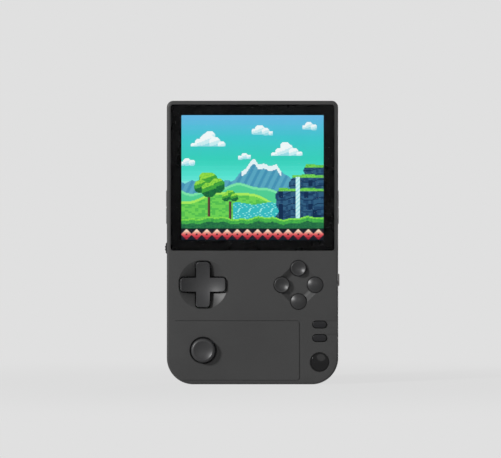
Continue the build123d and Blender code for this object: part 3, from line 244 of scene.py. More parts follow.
def shell_material(name, rgb, front=False):
    """The housing's plastic, with its seam: a bump groove with painted shade along it. In front, bump strengthens
    the two dishes.
    """
    seam_core, seam_end, seam_depth = 0.08 * MM, 0.16 * MM, 0.12 * MM
    sheet = plastic_sheet(name, rgb, 0.42, specular=0.25)
    x, y, z = sheet.axes()
    off = sheet.math("ABSOLUTE", sheet.math("SUBTRACT", y, PARTING_Y * MM))
    seam_groove_and_shade = sheet.math("SUBTRACT", 1.0, sheet.step(off, seam_core, seam_end))
    # painted shade: the gap at the parting line is drawn as a dark line in the base colour, over the bump groove
    sheet.darken(seam_groove_and_shade, (14, 14, 15))
    sheet.bump(sheet.math("SUBTRACT", 1.0, seam_groove_and_shade), 1.0, seam_depth)
    if front:
        # the round dish under the pad
        dish_start, dish_end, dish_rise = 4.5 * MM, 11.7 * MM, 2.8 * MM
        radius = sheet.from_axis(PAD_X * MM, PAD_Z * MM)
        sheet.bump(sheet.step(radius, dish_start, dish_end, "LINEAR"), 1.0, dish_rise)
        # the square dish between the face buttons, which stands on its corner
        dish_start, dish_end, dish_rise = 5.2 * MM, 8.6 * MM, 1.1 * MM
        dx, dz = sheet.math("SUBTRACT", x, CLUSTER_X * MM), sheet.math("SUBTRACT", z, CLUSTER_Z * MM)
        rise = sheet.math("ABSOLUTE", sheet.math("ADD", dx, dz))
        fall = sheet.math("ABSOLUTE", sheet.math("SUBTRACT", dx, dz))
        reach = sheet.math("MULTIPLY", sheet.math("MAXIMUM", rise, fall), math.sqrt(0.5))
        sheet.bump(sheet.step(reach, dish_start, dish_end, "LINEAR"), 1.0, dish_rise)
    return sheet.material


def pad_material(name, rgb):
    """The pad's plastic, with bump that strengthens its hollow towards the ends of the arms."""
    sheet = plastic_sheet(name, rgb, 0.48, specular=0.3)
    rise_at_ends = 3.0
    radius = sheet.from_axis(PAD_X * MM, PAD_Z * MM)
    sheet.bump(sheet.math("MULTIPLY", radius, radius), 1.0, rise_at_ends / (PAD_REACH * PAD_REACH * MM))
    return sheet.material


def rubber(name, rgb, roughness, grain=3500.0):
    """Rubber and foam: cloudy in tone, with a soft grain."""
    sheet = Sheet(name)
    color = linear(*rgb)
    sheet.link(sheet.ramp(sheet.noise(160.0, 4.0), shade(color, 0.88), shade(color, 1.1)),
               sheet.shader.inputs["Base Color"])
    sheet.link(sheet.span(sheet.noise(400.0), roughness - 0.08, roughness + 0.08),
               sheet.shader.inputs["Roughness"])
    sheet.set(Specular_IOR_Level=0.35)
    sheet.bump(sheet.noise(grain, 3.0), 0.4, 0.00002)
    return sheet.material


def metal(name, rgb, roughness=0.32):
    """Rolled or turned metal, with fine marks along Z."""
    sheet = Sheet(name)
    color = linear(*rgb)
    marks = sheet.noise(900.0, 4.0, 0.6, stretch=(40.0, 40.0, 1.0))
    sheet.link(sheet.ramp(marks, shade(color, 0.85), shade(color, 1.08)), sheet.shader.inputs["Base Color"])
    sheet.link(sheet.span(marks, roughness - 0.08, roughness + 0.12), sheet.shader.inputs["Roughness"])
    sheet.set(Metallic=1.0)
    sheet.bump(marks, 0.2, 0.000008)
    return sheet.material


def glass(name):
    """Clear cover glass that reflects little, with the faintest change of tone."""
    sheet = Sheet(name)
    sheet.link(sheet.ramp(sheet.noise(60.0, 3.0), linear(250, 252, 253), linear(255, 255, 255)),
               sheet.shader.inputs["Base Color"])
    sheet.set(Roughness=0.0, Transmission_Weight=1.0, IOR=1.03)
    return sheet.material


def board_material(name):
    """Green solder mask over faint copper runs."""
    sheet = Sheet(name)
    runs = sheet.add("ShaderNodeTexBrick", Scale=420.0)
    runs.inputs["Color1"].default_value = linear(22, 74, 48)
    runs.inputs["Color2"].default_value = linear(26, 82, 54)
    runs.inputs["Mortar"].default_value = linear(52, 112, 70)
    runs.inputs["Mortar Size"].default_value = 0.04
    sheet.link(sheet.coords, runs.inputs["Vector"])
    sheet.link(runs.outputs["Color"], sheet.shader.inputs["Base Color"])
    sheet.link(sheet.span(sheet.noise(200.0), 0.3, 0.45), sheet.shader.inputs["Roughness"])
    sheet.bump(runs.outputs["Fac"], 0.2, 0.00003)
    return sheet.material


def screen_material(name):
    """The lit picture: its colours are in the mesh, and a fine raster lies over them."""
    sheet = Sheet(name)
    colors = sheet.add("ShaderNodeVertexColor")
    colors.layer_name = "picture"
    x, _, z = sheet.axes()
    lines = None
    for axis, low, cell in ((x, PICTURE_LEFT, CELL_WIDTH), (z, PICTURE_BOTTOM, CELL_HEIGHT)):
        place = sheet.math("FRACT", sheet.math("DIVIDE", sheet.math("SUBTRACT", axis, low * MM), cell * MM))
        line = sheet.step(sheet.math("ABSOLUTE", sheet.math("SUBTRACT", place, 0.5)), 0.36, 0.5)
        lines = line if lines is None else sheet.math("MAXIMUM", lines, line)
    raster = sheet.add("ShaderNodeMix")
    raster.data_type = "RGBA"
    raster.blend_type = "MULTIPLY"
    raster.inputs[MIX_SECOND].default_value = (0.8, 0.8, 0.8, 1.0)
    sheet.link(lines, raster.inputs[MIX_FACTOR])
    sheet.link(colors.outputs["Color"], raster.inputs[MIX_FIRST])
    sheet.set(Roughness=0.4, Emission_Strength=1.0, Specular_IOR_Level=0.0)
    sheet.shader.inputs["Base Color"].default_value = (0.0, 0.0, 0.0, 1.0)
    sheet.link(raster.outputs[MIX_RESULT], sheet.shader.inputs["Emission Color"])
    return sheet.material


SHELL = shell_material("shell_plastic", (60, 60, 60))
FRONT = shell_material("front_shell_plastic", (60, 60, 60), True)
PAD = pad_material("pad_plastic", (54, 54, 55))
CONTROL = plastic("control_plastic", (33, 33, 34), 0.4, specular=0.45)
SMALL = plastic("small_control_plastic", (19, 19, 22), 0.4, specular=0.25)
GLOSS = plastic("gloss_plastic", (3, 3, 4), 0.1, grain=900.0, depth=0.000004, mottle=0.03, specular=0.28)
BLACK = plastic("black_print", (9, 9, 10), 0.6, grain=900.0, depth=0.000001, mottle=0.03, specular=0.05)
BORDER = plastic("border_print", (5, 5, 6), 0.2, grain=900.0, depth=0.000001, mottle=0.03, specular=0.06)
CHIP = plastic("chip_plastic", (30, 30, 32), 0.6)
NYLON = plastic("nylon_plastic", (222, 217, 203), 0.5)
GIMBAL = plastic("gimbal_plastic", (34, 34, 36), 0.55)
AMBER = plastic("amber_film", (184, 116, 40), 0.35, grain=1800.0)
POWER = plastic("power_plastic", (46, 28, 27), 0.45)
STICK = rubber("stick_rubber", (50, 50, 51), 0.4)
MEMBRANE = rubber("membrane_rubber", (150, 152, 155), 0.6)
FOAM = rubber("foam_black", (30, 30, 31), 0.9, grain=1600.0)
PAD_GREY = rubber("thermal_rubber", (120, 130, 150), 0.7)
STEEL = metal("pressed_steel", (178, 180, 184))
TRAY = metal("tray_sheet", (192, 194, 197), 0.4)
FOIL = metal("cell_foil", (176, 179, 183), 0.45)
SCREW = metal("black_screw_steel", (74, 74, 77), 0.4)
GLASS = glass("cover_glass")
BOARD = board_material("solder_mask")
PICTURE = screen_material("screen_picture")
DARK_STEEL = metal("dark_steel", (52, 52, 55), 0.5)

BY_SLOT = {
    "shell": SHELL, "control": CONTROL, "small_control": SMALL, "gloss_control": GLOSS,
    "stick_rubber": STICK, "clear_glass": GLASS, "black_print": BLACK, "display": BLACK, "steel": STEEL,
    "tray": TRAY, "board": BOARD, "chip": CHIP, "pad_grey": PAD_GREY, "foam": FOAM, "ribbon": AMBER,
    "nylon": NYLON, "membrane": MEMBRANE, "cell": FOIL, "speaker": CHIP, "gimbal": GIMBAL, "screw": SCREW,
}
BY_NODE = {
    "power_button": POWER, "front_shell": FRONT, "four_way_pad": PAD, "stick_housing": DARK_STEEL,
    "stick_upper_yoke": DARK_STEEL, "card_sockets": DARK_STEEL, "stick_shaft": GIMBAL,
    "stick_lower_yoke": GIMBAL,
}
slot_of = {row["node"]: row["material_slot"] for row in frame["record"]["subparts"]}
for name, node in nodes.items():
    chosen = BY_NODE.get(name) or BY_SLOT[slot_of[name]]
    node.data.materials.clear()
    node.data.materials.append(chosen)


# Mesh helpers: outlines are lists of (x, z) in millimetres, seen from the front, and y is in millimetres

def make_piece(name, vertices, faces, material, body, smooth=35.0):
    """A piece that rides on a body, with soft shading over edges flatter than smooth, in degrees."""
    mesh = bpy.data.meshes.new(name)
    mesh.from_pydata([tuple(c * MM for c in v) for v in vertices], [], faces)
    mesh.materials.append(material)
    shape = bmesh.new()
    shape.from_mesh(mesh)
    bmesh.ops.remove_doubles(shape, verts=shape.verts, dist=1e-7)
    bmesh.ops.recalc_face_normals(shape, faces=shape.faces)
    limit = math.radians(smooth)
    for face in shape.faces:
        face.smooth = True
    for edge in shape.edges:
        edge.smooth = edge.calc_face_angle(0.0) < limit
    shape.to_mesh(mesh)
    shape.free()
    piece = bpy.data.objects.new(name, mesh)
    bpy.context.scene.collection.objects.link(piece)
    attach(piece, body)
    return piece


def bands(rings, count, looped=False):
    """Faces between rings of count points each, where the vertices run on from ring to ring."""
    faces = []
    for ring in range(rings if looped else rings - 1):
        for step in range(count):
            after = (step + 1) % count
            a, b = ring * count, (ring + 1) % rings * count
            faces.append((a + step, a + after, b + after, b + step))
    return faces


def lids(rings, count):
    """The faces that close the first and the last ring."""
    return [tuple(range(count)), tuple(range((rings - 1) * count, rings * count))]


def lathe(name, x, z, profile, material, body, segments=64):
    """A turned piece about an axis along Y: profile is (radius, y) from the front's middle to the back's."""
    vertices = []
    for radius, y in profile:
        for step in range(segments):
            angle = 2 * math.pi * step / segments
            vertices.append((x + radius * math.cos(angle), y, z + radius * math.sin(angle)))
    return make_piece(name, vertices, bands(len(profile), segments), material, body)


def arc(cx, cy, radius, start, end, steps):
    """Points on a quarter or part circle, angles in degrees."""
    turns = [math.radians(start + (end - start) * k / steps) for k in range(steps + 1)]
    return [(cx + radius * math.cos(turn), cy + radius * math.sin(turn)) for turn in turns]


def stack(name, rings, material, body, hollow=False):
    """A piece lofted through outlines of equal point counts: rings is (outline, y). A hollow one loops."""
    vertices = [(x, y, z) for outline, y in rings for x, z in outline]
    count = len(rings[0][0])
    faces = bands(len(rings), count, hollow)
    if not hollow:
        faces += lids(len(rings), count)
    return make_piece(name, vertices, faces, material, body)


def rounded_outline(left, right, low, high, radius, steps=5):
    """A rectangle with round corners."""
    points = []
    for cx, cz, start in ((right - radius, low + radius, -90), (right - radius, high - radius, 0),
                          (left + radius, high - radius, 90), (left + radius, low + radius, 180)):
        points += arc(cx, cz, radius, start, start + 90, steps)
    return points


def pill_outline(z, grow=0.0, steps=16):
    """The outline of a pill button, made larger or smaller all round."""
    radius = PILL_WIDTH / 2 + grow
    half = PILL_LENGTH / 2 - PILL_WIDTH / 2
    points = [(PILL_X + half + px, z + pz) for px, pz in arc(0, 0, radius, -90, 90, steps)]
    return points + [(PILL_X - half + px, z + pz) for px, pz in arc(0, 0, radius, 90, 270, steps)]


# Buttons: each has a cap, a flange behind the shell and a stem towards its rubber dome

def round_over(radius, y, bevel, steps=6):
    """The rounded rim of a turned cap, from its top to its side."""
    turns = [math.radians(90 * k / steps) for k in range(steps + 1)]
    return [(radius - bevel + bevel * math.sin(turn), y + bevel - bevel * math.cos(turn)) for turn in turns]


def bowl(radius, y, depth, steps=8):
    """A hollow or a dome from the middle out: a positive depth is a hollow."""
    return [(radius * k / steps, y + depth * (1 - (k / steps) ** 2)) for k in range(steps + 1)]


def foot(radius, flange):
    """The rest of a turned button's profile, from its side to the middle of its stem's end."""
    return [(radius, FLANGE_FRONT_Y), (flange, FLANGE_FRONT_Y), (flange, FLANGE_BACK_Y),
            (STEM_RADIUS, FLANGE_BACK_Y), (STEM_RADIUS, STEM_BACK_Y), (0.0, STEM_BACK_Y)]


# dome_step is how far behind its dome's edge a cap's bevel begins
button_top, menu_top, dome_step = FACE_Y - 1.35, FACE_Y - 0.5, 0.04
hollow_rim, hollow_depth, hollow_bevel = 0.42, 1.05, 0.32
dome_rise, dome_bevel = 0.92, 0.15
menu_rise, menu_rim, menu_bevel = 0.42, 0.4, 0.3
for side, (x, z) in BUTTON_PLACES.items():
    if side in ("top", "left"):
        profile = bowl(BUTTON_RADIUS - hollow_rim, button_top, hollow_depth)
        profile += round_over(BUTTON_RADIUS, button_top, hollow_bevel)
    else:
        profile = bowl(BUTTON_RADIUS - dome_bevel, button_top + dome_rise, -dome_rise)
        profile += round_over(BUTTON_RADIUS, button_top + dome_rise + dome_step, dome_bevel, 3)
    profile += foot(BUTTON_RADIUS, BUTTON_FLANGE)
    cap = lathe("face_button_%s_cap" % side, x, z, profile, CONTROL, "button_" + side)
    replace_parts(cap, "face_button_" + side)

profile = bowl(MENU_RADIUS - menu_rim, menu_top + menu_rise, -menu_rise)
profile += round_over(MENU_RADIUS, menu_top + menu_rise + dome_step, menu_bevel)
profile += foot(MENU_RADIUS, MENU_FLANGE)
menu = lathe("menu_button_cap", MENU_X, MENU_Z, profile, GLOSS, "menu", 96)
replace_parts(menu, "menu_button")

pill_top, pill_bevel, pill_flange, pill_back, pill_steps = FACE_Y - 0.35, 0.3, 0.65, -6.6, 5
for label, height in PILL_HEIGHTS.items():
    rings = []
    for k in range(pill_steps + 1):
        turn = math.radians(90 * k / pill_steps)
        rings.append((pill_outline(height, -pill_bevel + pill_bevel * math.sin(turn)),
                      pill_top + pill_bevel - pill_bevel * math.cos(turn)))
    rings += [(pill_outline(height), FLANGE_FRONT_Y), (pill_outline(height, pill_flange), FLANGE_FRONT_Y),
              (pill_outline(height, pill_flange), pill_back)]
    pill = stack(label + "_button_cap", rings, SMALL, label)
    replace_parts(pill, label + "_button")


# Thumbstick cap: a hollow top, a rounded rim, and a neck that flares into a bell round the pivot, so that
# no tilt opens a view into the works

stick_top, stick_radius, stick_bevel = edges("stick_cap")[0][1], 5.7, 1.2
stick_hollow, stick_depth, neck_radius = 4.2, 0.85, 2.75
bell_outside, bell_inside, bell_steps = 6.4, 6.1, 6
neck_angle, edge_angle, shaft_angle = 25, 41, 14
profile = bowl(stick_hollow, stick_top + 0.12, stick_depth, 10)
profile += [(4.35, stick_top + 0.04), (4.45, stick_top)]
profile += round_over(stick_radius, stick_top, stick_bevel, 10)
profile += [(stick_radius, stick_top + 1.25), (5.5, stick_top + 1.45), (3.4, stick_top + 1.5),
            (neck_radius, stick_top + 1.9)]
# the bell's outside from the neck to its edge, then its inside back to the shaft
for radius, first, last in ((bell_outside, neck_angle, edge_angle), (bell_inside, edge_angle, shaft_angle)):
    for step in range(bell_steps + 1):
        turn = math.radians(first + (last - first) * step / bell_steps)
        profile.append((radius * math.sin(turn), PIVOT_Y - radius * math.cos(turn)))
cap = lathe("stick_cap_rubber", STICK_X, STICK_Z, profile, STICK, "stick", 96)
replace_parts(cap, "stick_cap")


# Rubber domes under the controls: each is cut from its sheet as a piece of its own, and sheets and domes all stay
# with the body

DOME_REACH, ROCKING_GAP = 3.4, 0.18


def cut_node(name, node, level, front, middle=None):
    """A closed copy of the part of a node before or behind a level along Y, near a place if one is given."""
    shape = bmesh.new()
    shape.from_mesh(nodes[node].data)
    bmesh.ops.remove_doubles(shape, verts=shape.verts, dist=1e-7)
    if level is not None:
        bmesh.ops.bisect_plane(shape, geom=shape.verts[:] + shape.edges[:] + shape.faces[:],
                               plane_co=(0, level * MM, 0), plane_no=(0, 1 if front else -1, 0),
                               clear_outer=True)
    if middle:
        x, z = middle[0] * MM, middle[1] * MM
        far = [v for v in shape.verts if math.hypot(v.co.x - x, v.co.z - z) > DOME_REACH * MM]
        bmesh.ops.delete(shape, geom=far, context="VERTS")
    bmesh.ops.holes_fill(shape, edges=[edge for edge in shape.edges if edge.is_boundary])
    bmesh.ops.recalc_face_normals(shape, faces=shape.faces)
    mesh = bpy.data.meshes.new(name)
    shape.to_mesh(mesh)
    shape.free()
    mesh.materials.append(MEMBRANE)
    piece = bpy.data.objects.new(name, mesh)
    bpy.context.scene.collection.objects.link(piece)
    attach(piece, "body")
    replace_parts(piece, node)
    return piece


def shorten(piece, base, much):
    """Draw a dome's front back towards its base, so that it clears the rocking pad."""
    tip = min(vertex.co.y for vertex in piece.data.vertices)
    share = 1 - much * MM / (base * MM - tip)
    for vertex in piece.data.vertices:
        vertex.co.y = base * MM + (vertex.co.y - base * MM) * share


# Each rubber sheet's domes: the joint that presses a dome, and where the dome stands
PAD_SIDES = (("pad_tilt_updown", 0, 1), ("pad_tilt_updown", 0, -1),
             ("pad_tilt_side", 1, 0), ("pad_tilt_side", -1, 0))
SHEETS = {
    "button_membrane": [("press_" + side, place) for side, place in BUTTON_PLACES.items()],
    "system_membrane": [("press_" + label, (PILL_X, height)) for label, height in PILL_HEIGHTS.items()]
                       + [("press_menu", (MENU_X, MENU_Z))],
    "pad_membrane": [(joint, (PAD_X + dx * PAD_DOME_OFFSET, PAD_Z + dz * PAD_DOME_OFFSET))
                     for joint, dx, dz in PAD_SIDES],
}
for node, presses in SHEETS.items():
    cut_node(node + "_sheet", node, SHEET_CUT_Y, False)
    for number, (joint, (x, z)) in enumerate(presses):
        soft = cut_node("%s_dome_%d" % (node, number), node, SHEET_CUT_Y, True, (x, z))
        if node == "pad_membrane":
            shorten(soft, SHEET_CUT_Y, ROCKING_GAP)
        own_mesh(soft)

low, high = edges("shoulder_domes")
for label, side, z in (("l1", -1, high[2] - SHOULDER_DOME_RADIUS), ("l2", -1, low[2] + SHOULDER_DOME_RADIUS),
                       ("r1", 1, high[2] - SHOULDER_DOME_RADIUS), ("r2", 1, low[2] + SHOULDER_DOME_RADIUS)):
    x = side * (high[0] - SHOULDER_DOME_RADIUS)
    soft = cut_node("shoulder_dome_" + label, "shoulder_domes", None, True, (x, z))
    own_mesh(soft)


# Screws at the back, with cross recesses

def cross_screw(name, x, z):
    """A pan head with a cross recess: rings of points whose inner ones follow the cross."""
    segments = 48
    seat, rise = 8.3, 1.1
    recess_depth, recess_reach, recess_half_width = 0.5, 0.82, 0.2
    angles = [2 * math.pi * k / segments for k in range(segments)]
    across = [min(abs(math.cos(angle)), abs(math.sin(angle))) for angle in angles]
    cross = [min(recess_reach, recess_half_width / max(share, recess_half_width)) for share in across]
    head = ((1.62, 0.0), (1.62, 0.62), (1.5, 0.86), (1.2, 1.02), (0.98, rise))
    rings = [([radius] * segments, up) for radius, up in head]
    rings += [(cross, rise), (cross, rise - recess_depth)]
    vertices = [(x + radius * math.cos(angle), seat + up, z + radius * math.sin(angle))
                for radii, up in rings for radius, angle in zip(radii, angles)]
    faces = bands(len(rings), segments) + lids(len(rings), segments)
    return make_piece(name, vertices, faces, SCREW, "body", 30.0)


for number, (x, z) in enumerate(SCREW_PLACES):
    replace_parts(cross_screw("back_screw_%d" % number, x, z), "shell_screws")


# Black border behind the glass, a hair away from it so that the two never share a face

low, high = edges("screen_mask")
border_front, border_back = low[1] + 0.02, high[1]
outer = rounded_outline(low[0], high[0], low[2], high[2], 1.2)
inner = rounded_outline(PICTURE_LEFT, PICTURE_RIGHT, PICTURE_BOTTOM, PICTURE_TOP, 0.25)
rings = [(outer, border_front), (outer, border_back), (inner, border_back), (inner, border_front)]
border = stack("screen_border", rings, BORDER, "body", hollow=True)
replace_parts(border, "screen_mask")


# Picture on the display: an open country scene in small square cells, drawn by rule. Columns count from the
# left and rows from the top.

def scatter(a, b):
    """A repeatable number from 0 to 1 for a pair of whole numbers."""
    value = (a * 374761393 + b * 668265263) & 0xFFFFFFFF
    value = ((value ^ (value >> 13)) * 1274126177) & 0xFFFFFFFF
    return ((value ^ (value >> 16)) & 0xFFFF) / 65535


def wave(x, *parts):
    """A sum of waves: each part is (size, length, start)."""
    return sum(size * math.sin(x / length + start) for size, length, start in parts)


# Each cloud is its column, its row and its circles (dx, dy, radius); each tree has its trunk's height too
CLOUDS = [
    (30, 30, ((0, 0, 9), (9, 2, 7), (-9, 3, 6), (17, 5, 5), (-16, 6, 4), (3, -5, 7))),
    (92, 17, ((0, 0, 6), (7, 2, 5), (-6, 2, 4), (13, 4, 3))),
    (124, 41, ((0, 0, 8), (8, 3, 6), (-8, 3, 6), (15, 5, 4), (-15, 6, 4), (-2, -4, 6))),
    (74, 48, ((0, 0, 4), (5, 1, 3), (-5, 2, 3))),
    (150, 12, ((0, 0, 5), (6, 2, 4), (-5, 2, 3))),
    (6, 55, ((0, 0, 5), (6, 1, 4), (-6, 2, 3))),
]
TREES = [
    (32, 102, 12, ((0, -24, 11), (-10, -18, 8), (10, -19, 9), (0, -14, 9), (-5, -28, 7))),
    (57, 108, 7, ((0, -14, 6), (-5, -11, 5), (5, -11, 5))),
]
# Each terrace of rock is its left edge and its top
TERRACES = ((112, 86), (128, 70), (146, 58))
# Where the water falls, where the strip at the bottom starts, and how many columns one of its lozenges takes
FALL_COLUMN, FALL_ROW, STRIP_ROW, LOZENGE_ROOM = 137, 72, 134, 12
# A lozenge's tones, each with the row of the strip that ends it, and the sky's by share of its height
STRIP_TONES = [(4, (246, 216, 190)), (6, (238, 164, 146)), (8, (228, 104, 104)), (10, (206, 70, 80)),
               (14, (172, 48, 62))]
SKY_STOPS = [(0.0, (104, 188, 232)), (0.3, (66, 204, 208)), (0.6, (58, 212, 190)), (0.85, (92, 232, 214)),
             (1.0, (164, 240, 228))]
SKY_ROWS, SKY_BAND = 84, 6


def blob(column, row, x, y, parts):
    """How well lit a cell is on a group of circles, or None outside them."""
    best = None
    for dx, dy, radius in parts:
        px, py = column - x - dx, row - y - dy
        inside = radius * radius - px * px - py * py
        if inside > 0:
            high = -py / radius - 0.35 * px / radius
            best = high if best is None else max(best, high)
    return best


# Each thing in the scene gives its colour where it covers a cell, and None elsewhere

def ground_line(column):
    """The row where the ground in front starts."""
    return 121 + wave(column, (1.5, 9.0, 0.4), (0.8, 3.1, 1.0))


def strip_color(column, row):
    """A dark strip at the bottom, with a row of lozenges that go from cream to red."""
    if row < STRIP_ROW:
        return None
    if row in (STRIP_ROW, ROWS - 1):
        return (24, 30, 38)
    low = row - STRIP_ROW
    across, down = column % LOZENGE_ROOM - (LOZENGE_ROOM - 1) / 2, low - (ROWS - 1 - STRIP_ROW) / 2
    if 1.2 < abs(across) + abs(down) < 6.2:
        return next(tone for end, tone in STRIP_TONES if low < end)
    return (36, 40, 50) if (column // 6 + low // 3) % 2 else (28, 32, 42)


def ground_color(column, row):
    """Ground with grass on its edge."""
    grain, depth = scatter(column, row), row - ground_line(column)
    if depth < 0:
        return None
    if depth < 2:
        return (140, 230, 84) if grain > 0.3 else (104, 206, 76)
    if depth < 6:
        return (78, 184, 80) if grain > 0.35 else (56, 156, 74)
    return (44, 124, 74) if grain > 0.4 else (34, 100, 68)


def tree_color(column, row):
    """Trees: crowns in three tones, and trunks."""
    grain = scatter(column, row)
    for x, y, trunk, parts in TREES:
        high = blob(column, row, x, y, parts)
        if high is not None:
            if high > 0.45:
                return (152, 224, 74) if grain > 0.25 else (112, 200, 66)
            if high > -0.1:
                return (72, 172, 66) if grain > 0.3 else (54, 148, 64)
            return (34, 116, 64) if grain > 0.3 else (26, 94, 60)
        if abs(column - x) < 1.6 and y - trunk < row < ground_line(column):
            return (104, 76, 62) if column <= x else (70, 52, 54)


def rock_color(column, row):
    """Terraced rocks on the right, with a fall of water."""
    for start, top in TERRACES:
        edge = start + wave(row, (1.6, 4.0, start), (1.0, 2.2, 0.0))
        if column < edge or row < top + wave(column, (1.0, 5.0, 0.0)):
            continue
        if abs(column - FALL_COLUMN) < 2.6 and row > FALL_ROW:
            return (206, 246, 246) if (row + column) % 5 else (130, 216, 226)
        if row - top < 4:
            return (120, 212, 84) if scatter(column, row) > 0.25 else (84, 182, 74)
        layer = int(row + wave(column, (2.0, 5.0, 0.0)))
        if layer % 7 == 0 or scatter(column // 5, row // 7) > 0.86:
            return (24, 50, 84)
        return (52, 96, 130) if scatter(column // 3, row // 4) > 0.5 else (38, 74, 110)


def lake_color(column, row):
    """A lake with glints."""
    if row < 104 + wave(column, (1.2, 6.0, 0.0)) or not 60 < column < 132:
        return None
    glint = (row * 3 + int(wave(row, (6.0, 1.7, 0.0))) + column) % 13 < 2
    return (150, 236, 228) if glint else (58, 190, 196)


def hill_color(column, row):
    """A meadow hill on the left, and a far one behind it."""
    near = 96 + wave(column, (7.0, 26.0, 2.2), (1.6, 8.0, 0.0)) + 16 * max(0.0, column / COLUMNS - 0.3)
    if row >= near:
        if row - near < 3:
            return (172, 240, 98)
        return (112, 214, 88) if scatter(column // 4, row // 2) > 0.42 else (88, 194, 84)
    far = 86 + wave(column, (5.0, 17.0, 0.6), (1.5, 6.0, 0.0))
    if row >= far:
        return (84, 210, 150) if row - far > 3 else (126, 232, 170)


def mountain_color(column, row):
    """Mountains: two peaks, and snow on the high parts."""
    peak = 78 - 26 * max(0.0, 1 - abs(column - 86) / 28) - 16 * max(0.0, 1 - abs(column - 112) / 22)
    peak += wave(column, (1.2, 2.3, 0.0), (1.0, 5.0, 1.0))
    if row < peak:
        return None
    if row - peak < 6 and peak < 66:
        return (232, 248, 250)
    return (92, 170, 196) if (column + int(row / 2)) % 9 < 5 else (72, 150, 184)


def cloud_color(column, row):
    """Clouds in three tones, flat below."""
    for x, y, parts in CLOUDS:
        high = blob(column, row, x, y, parts)
        if high is not None and row < y + 7:
            if high > 0.2:
                return (246, 254, 254)
            return (206, 242, 246) if high > -0.35 else (158, 224, 234)


def sky_color(column, row):
    """Sky in bands: blue above, then turquoise, and pale near the land."""
    mixed = (column + row) % 2 and row % SKY_BAND > 3
    share = min(1.0, (row // SKY_BAND * SKY_BAND + (SKY_BAND / 2 if mixed else 0)) / SKY_ROWS)
    for (start, top), (end, low) in zip(SKY_STOPS, SKY_STOPS[1:]):
        if share <= end:
            part = (share - start) / (end - start)
            return tuple(round(a + (b - a) * part) for a, b in zip(top, low))


NEAR_TO_FAR = (strip_color, ground_color, tree_color, rock_color, lake_color, hill_color, mountain_color,
               cloud_color, sky_color)


def cell_color(column, row):
    """The colour of the nearest thing in the scene that covers a cell."""
    for thing in NEAR_TO_FAR:
        color = thing(column, row)
        if color is not None:
            return color


def make_picture():
    """Runs of cells with one colour become one face each, so the mesh stays small."""
    vertices, faces, colors = [], [], []
    for row in range(ROWS):
        start, current = 0, cell_color(0, row)
        for column in range(1, COLUMNS + 1):
            color = cell_color(column, row) if column < COLUMNS else None
            if color == current:
                continue
            left, right = PICTURE_LEFT + start * CELL_WIDTH, PICTURE_LEFT + column * CELL_WIDTH
            low, high = PICTURE_TOP - (row + 1) * CELL_HEIGHT, PICTURE_TOP - row * CELL_HEIGHT
            base = len(vertices)
            vertices += [(x * MM, PICTURE_Y * MM, z * MM)
                         for x, z in ((left, low), (right, low), (right, high), (left, high))]
            faces.append((base, base + 1, base + 2, base + 3))
            colors.append(current)
            start, current = column, color
    mesh = bpy.data.meshes.new("screen_picture")
    mesh.from_pydata(vertices, [], faces)
    mesh.materials.append(PICTURE)
    layer = mesh.color_attributes.new("picture", "FLOAT_COLOR", "CORNER")
    flat = []
    for color in colors:
        flat += list(linear(*color)) * 4
    layer.data.foreach_set("color", flat)
    piece = bpy.data.objects.new("screen_picture", mesh)
    bpy.context.scene.collection.objects.link(piece)
    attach(piece, "body")


make_picture()


# CAD nodes keep their shape and get soft shading across their narrow bevels

def soften(node, degrees=40.0):
    """Soft shading by modifiers, with the flat faces weighing most; loose corners are joined first."""
    shape = bmesh.new()
    shape.from_mesh(node.data)
    count = len(shape.verts)
    bmesh.ops.remove_doubles(shape, verts=shape.verts, dist=1e-8)
    merged = len(shape.verts) != count
    shape.free()
    node.data.shade_smooth()
    for layer in list(node.data.attributes):
        if layer.name == "custom_normal":
            node.data.attributes.remove(layer)
    if merged:
        weld = node.modifiers.new("weld", "WELD")
        weld.merge_threshold = 1e-7
    sharp = node.modifiers.new("sharp", "EDGE_SPLIT")
    sharp.split_angle = math.radians(degrees)
    weight = node.modifiers.new("weighted", "WEIGHTED_NORMAL")
    weight.weight = 100
    weight.keep_sharp = True


for name in ("front_shell", "rear_shell", "four_way_pad", "volume_wheel", "shoulder_l1", "shoulder_l2",
             "shoulder_r1", "shoulder_r2", "power_button", "headphone_jack", "screen_glass"):
    soften(nodes[name])


# Studio: pale surroundings that the camera and reflections see, and soft light from the upper left

PALE = linear(224, 224, 224)


def seen_directly(tree):
    """A factor of 1 for rays that look at a surface: from the camera, or by way of gloss or glass."""
    path = tree.nodes.new("ShaderNodeLightPath")
    total = path.outputs["Is Camera Ray"]
    for kind in ("Is Glossy Ray", "Is Transmission Ray"):
        either = tree.nodes.new("ShaderNodeMath")
        either.operation = "MAXIMUM"
        tree.links.new(total, either.inputs[0])
        tree.links.new(path.outputs[kind], either.inputs[1])
        total = either.outputs[0]
    return total


def show(tree, output, factor, unseen, seen):
    """Send a tree's output one of two shaders, the second where the factor is 1."""
    out = tree.nodes.new(output)
    mix = tree.nodes.new("ShaderNodeMixShader")
    for source, target in ((factor, mix.inputs["Fac"]), (unseen.outputs[0], mix.inputs[1]),
                           (seen.outputs[0], mix.inputs[2]), (mix.outputs[0], out.inputs["Surface"])):
        tree.links.new(source, target)


def make_world():
    """Surroundings that look pale and give little light."""
    world = bpy.data.worlds.new("studio")
    bpy.context.scene.world = world
    world.use_nodes = True
    tree = world.node_tree
    tree.nodes.clear()
    pale = tree.nodes.new("ShaderNodeBackground")
    pale.inputs["Color"].default_value = PALE
    soft = tree.nodes.new("ShaderNodeBackground")
    soft.inputs["Color"].default_value = (1.0, 1.0, 1.0, 1.0)
    soft.inputs["Strength"].default_value = 0.07
    show(tree, "ShaderNodeOutputWorld", seen_directly(tree), soft, pale)


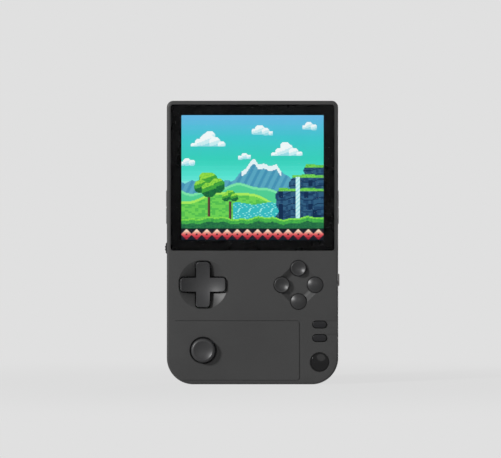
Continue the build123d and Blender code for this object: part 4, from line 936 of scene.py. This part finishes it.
def make_floor():
    """A floor that is lit only near the object, where it takes the shadow, and glows evenly farther out."""
    material = bpy.data.materials.new("floor_pale")
    material.use_nodes = True
    tree = material.node_tree
    tree.nodes.clear()
    lit = tree.nodes.new("ShaderNodeBsdfDiffuse")
    lit.inputs["Color"].default_value = (0.75, 0.75, 0.75, 1.0)
    glow = tree.nodes.new("ShaderNodeEmission")
    glow.inputs["Color"].default_value = PALE
    place = tree.nodes.new("ShaderNodeTexCoord")
    length = tree.nodes.new("ShaderNodeVectorMath")
    length.operation = "LENGTH"
    tree.links.new(place.outputs["Object"], length.inputs[0])
    spread = tree.nodes.new("ShaderNodeMapRange")
    spread.interpolation_type = "SMOOTHSTEP"
    for key, value in (("From Min", 0.05), ("From Max", 0.3), ("To Min", 0.9), ("To Max", 1.0)):
        spread.inputs[key].default_value = value
    tree.links.new(length.outputs["Value"], spread.inputs["Value"])
    scale = tree.nodes.new("ShaderNodeMath")
    scale.operation = "MULTIPLY"
    tree.links.new(spread.outputs["Result"], scale.inputs[1])
    tree.links.new(seen_directly(tree), scale.inputs[0])
    show(tree, "ShaderNodeOutputMaterial", scale.outputs[0], lit, glow)
    mesh = bpy.data.meshes.new("floor")
    half = 6
    mesh.from_pydata([(-half, -half, 0), (half, -half, 0), (half, half, 0), (-half, half, 0)], [],
                     [(0, 1, 2, 3)])
    mesh.materials.append(material)
    floor = bpy.data.objects.new("floor", mesh)
    bpy.context.scene.collection.objects.link(floor)


make_world()
make_floor()

MIDDLE = (0.0, 0.0, 0.067)


def lamp(name, place, size, power):
    """A round lamp that faces the middle of the object: place and size in metres, power in watts."""
    light = bpy.data.lights.new(name, "AREA")
    light.shape = "DISK"
    light.size = size
    light.energy = power
    obj = bpy.data.objects.new(name, light)
    obj.location = place
    obj.rotation_euler = (Vector(MIDDLE) - Vector(place)).to_track_quat("-Z", "Y").to_euler()
    bpy.context.scene.collection.objects.link(obj)


lamp("key_lamp", (-1.35, -1.2, 0.75), 0.3, 35.0)
lamp("front_lamp", (0.2, -1.7, 0.5), 0.9, 2.0)
lamp("rear_lamp", (0.8, 1.6, 0.35), 0.9, 16.0)


# Camera: straight from the front, with the photo's width of view at the face of the object

distance, view_width, view_x, view_z = 1.5, 0.2366, -0.00096, 0.0734
camera_data = bpy.data.cameras.new("camera")
camera_data.sensor_width = 36.0
camera_data.lens = camera_data.sensor_width * (distance + FACE_Y * MM) / view_width
camera_data.clip_start = 0.01
camera = bpy.data.objects.new("camera", camera_data)
camera.location = (view_x, -distance, view_z)
camera.rotation_euler = (math.radians(90), 0, 0)
bpy.context.scene.collection.objects.link(camera)
bpy.context.scene.camera = camera

bpy.context.scene.view_settings.view_transform = "Standard"
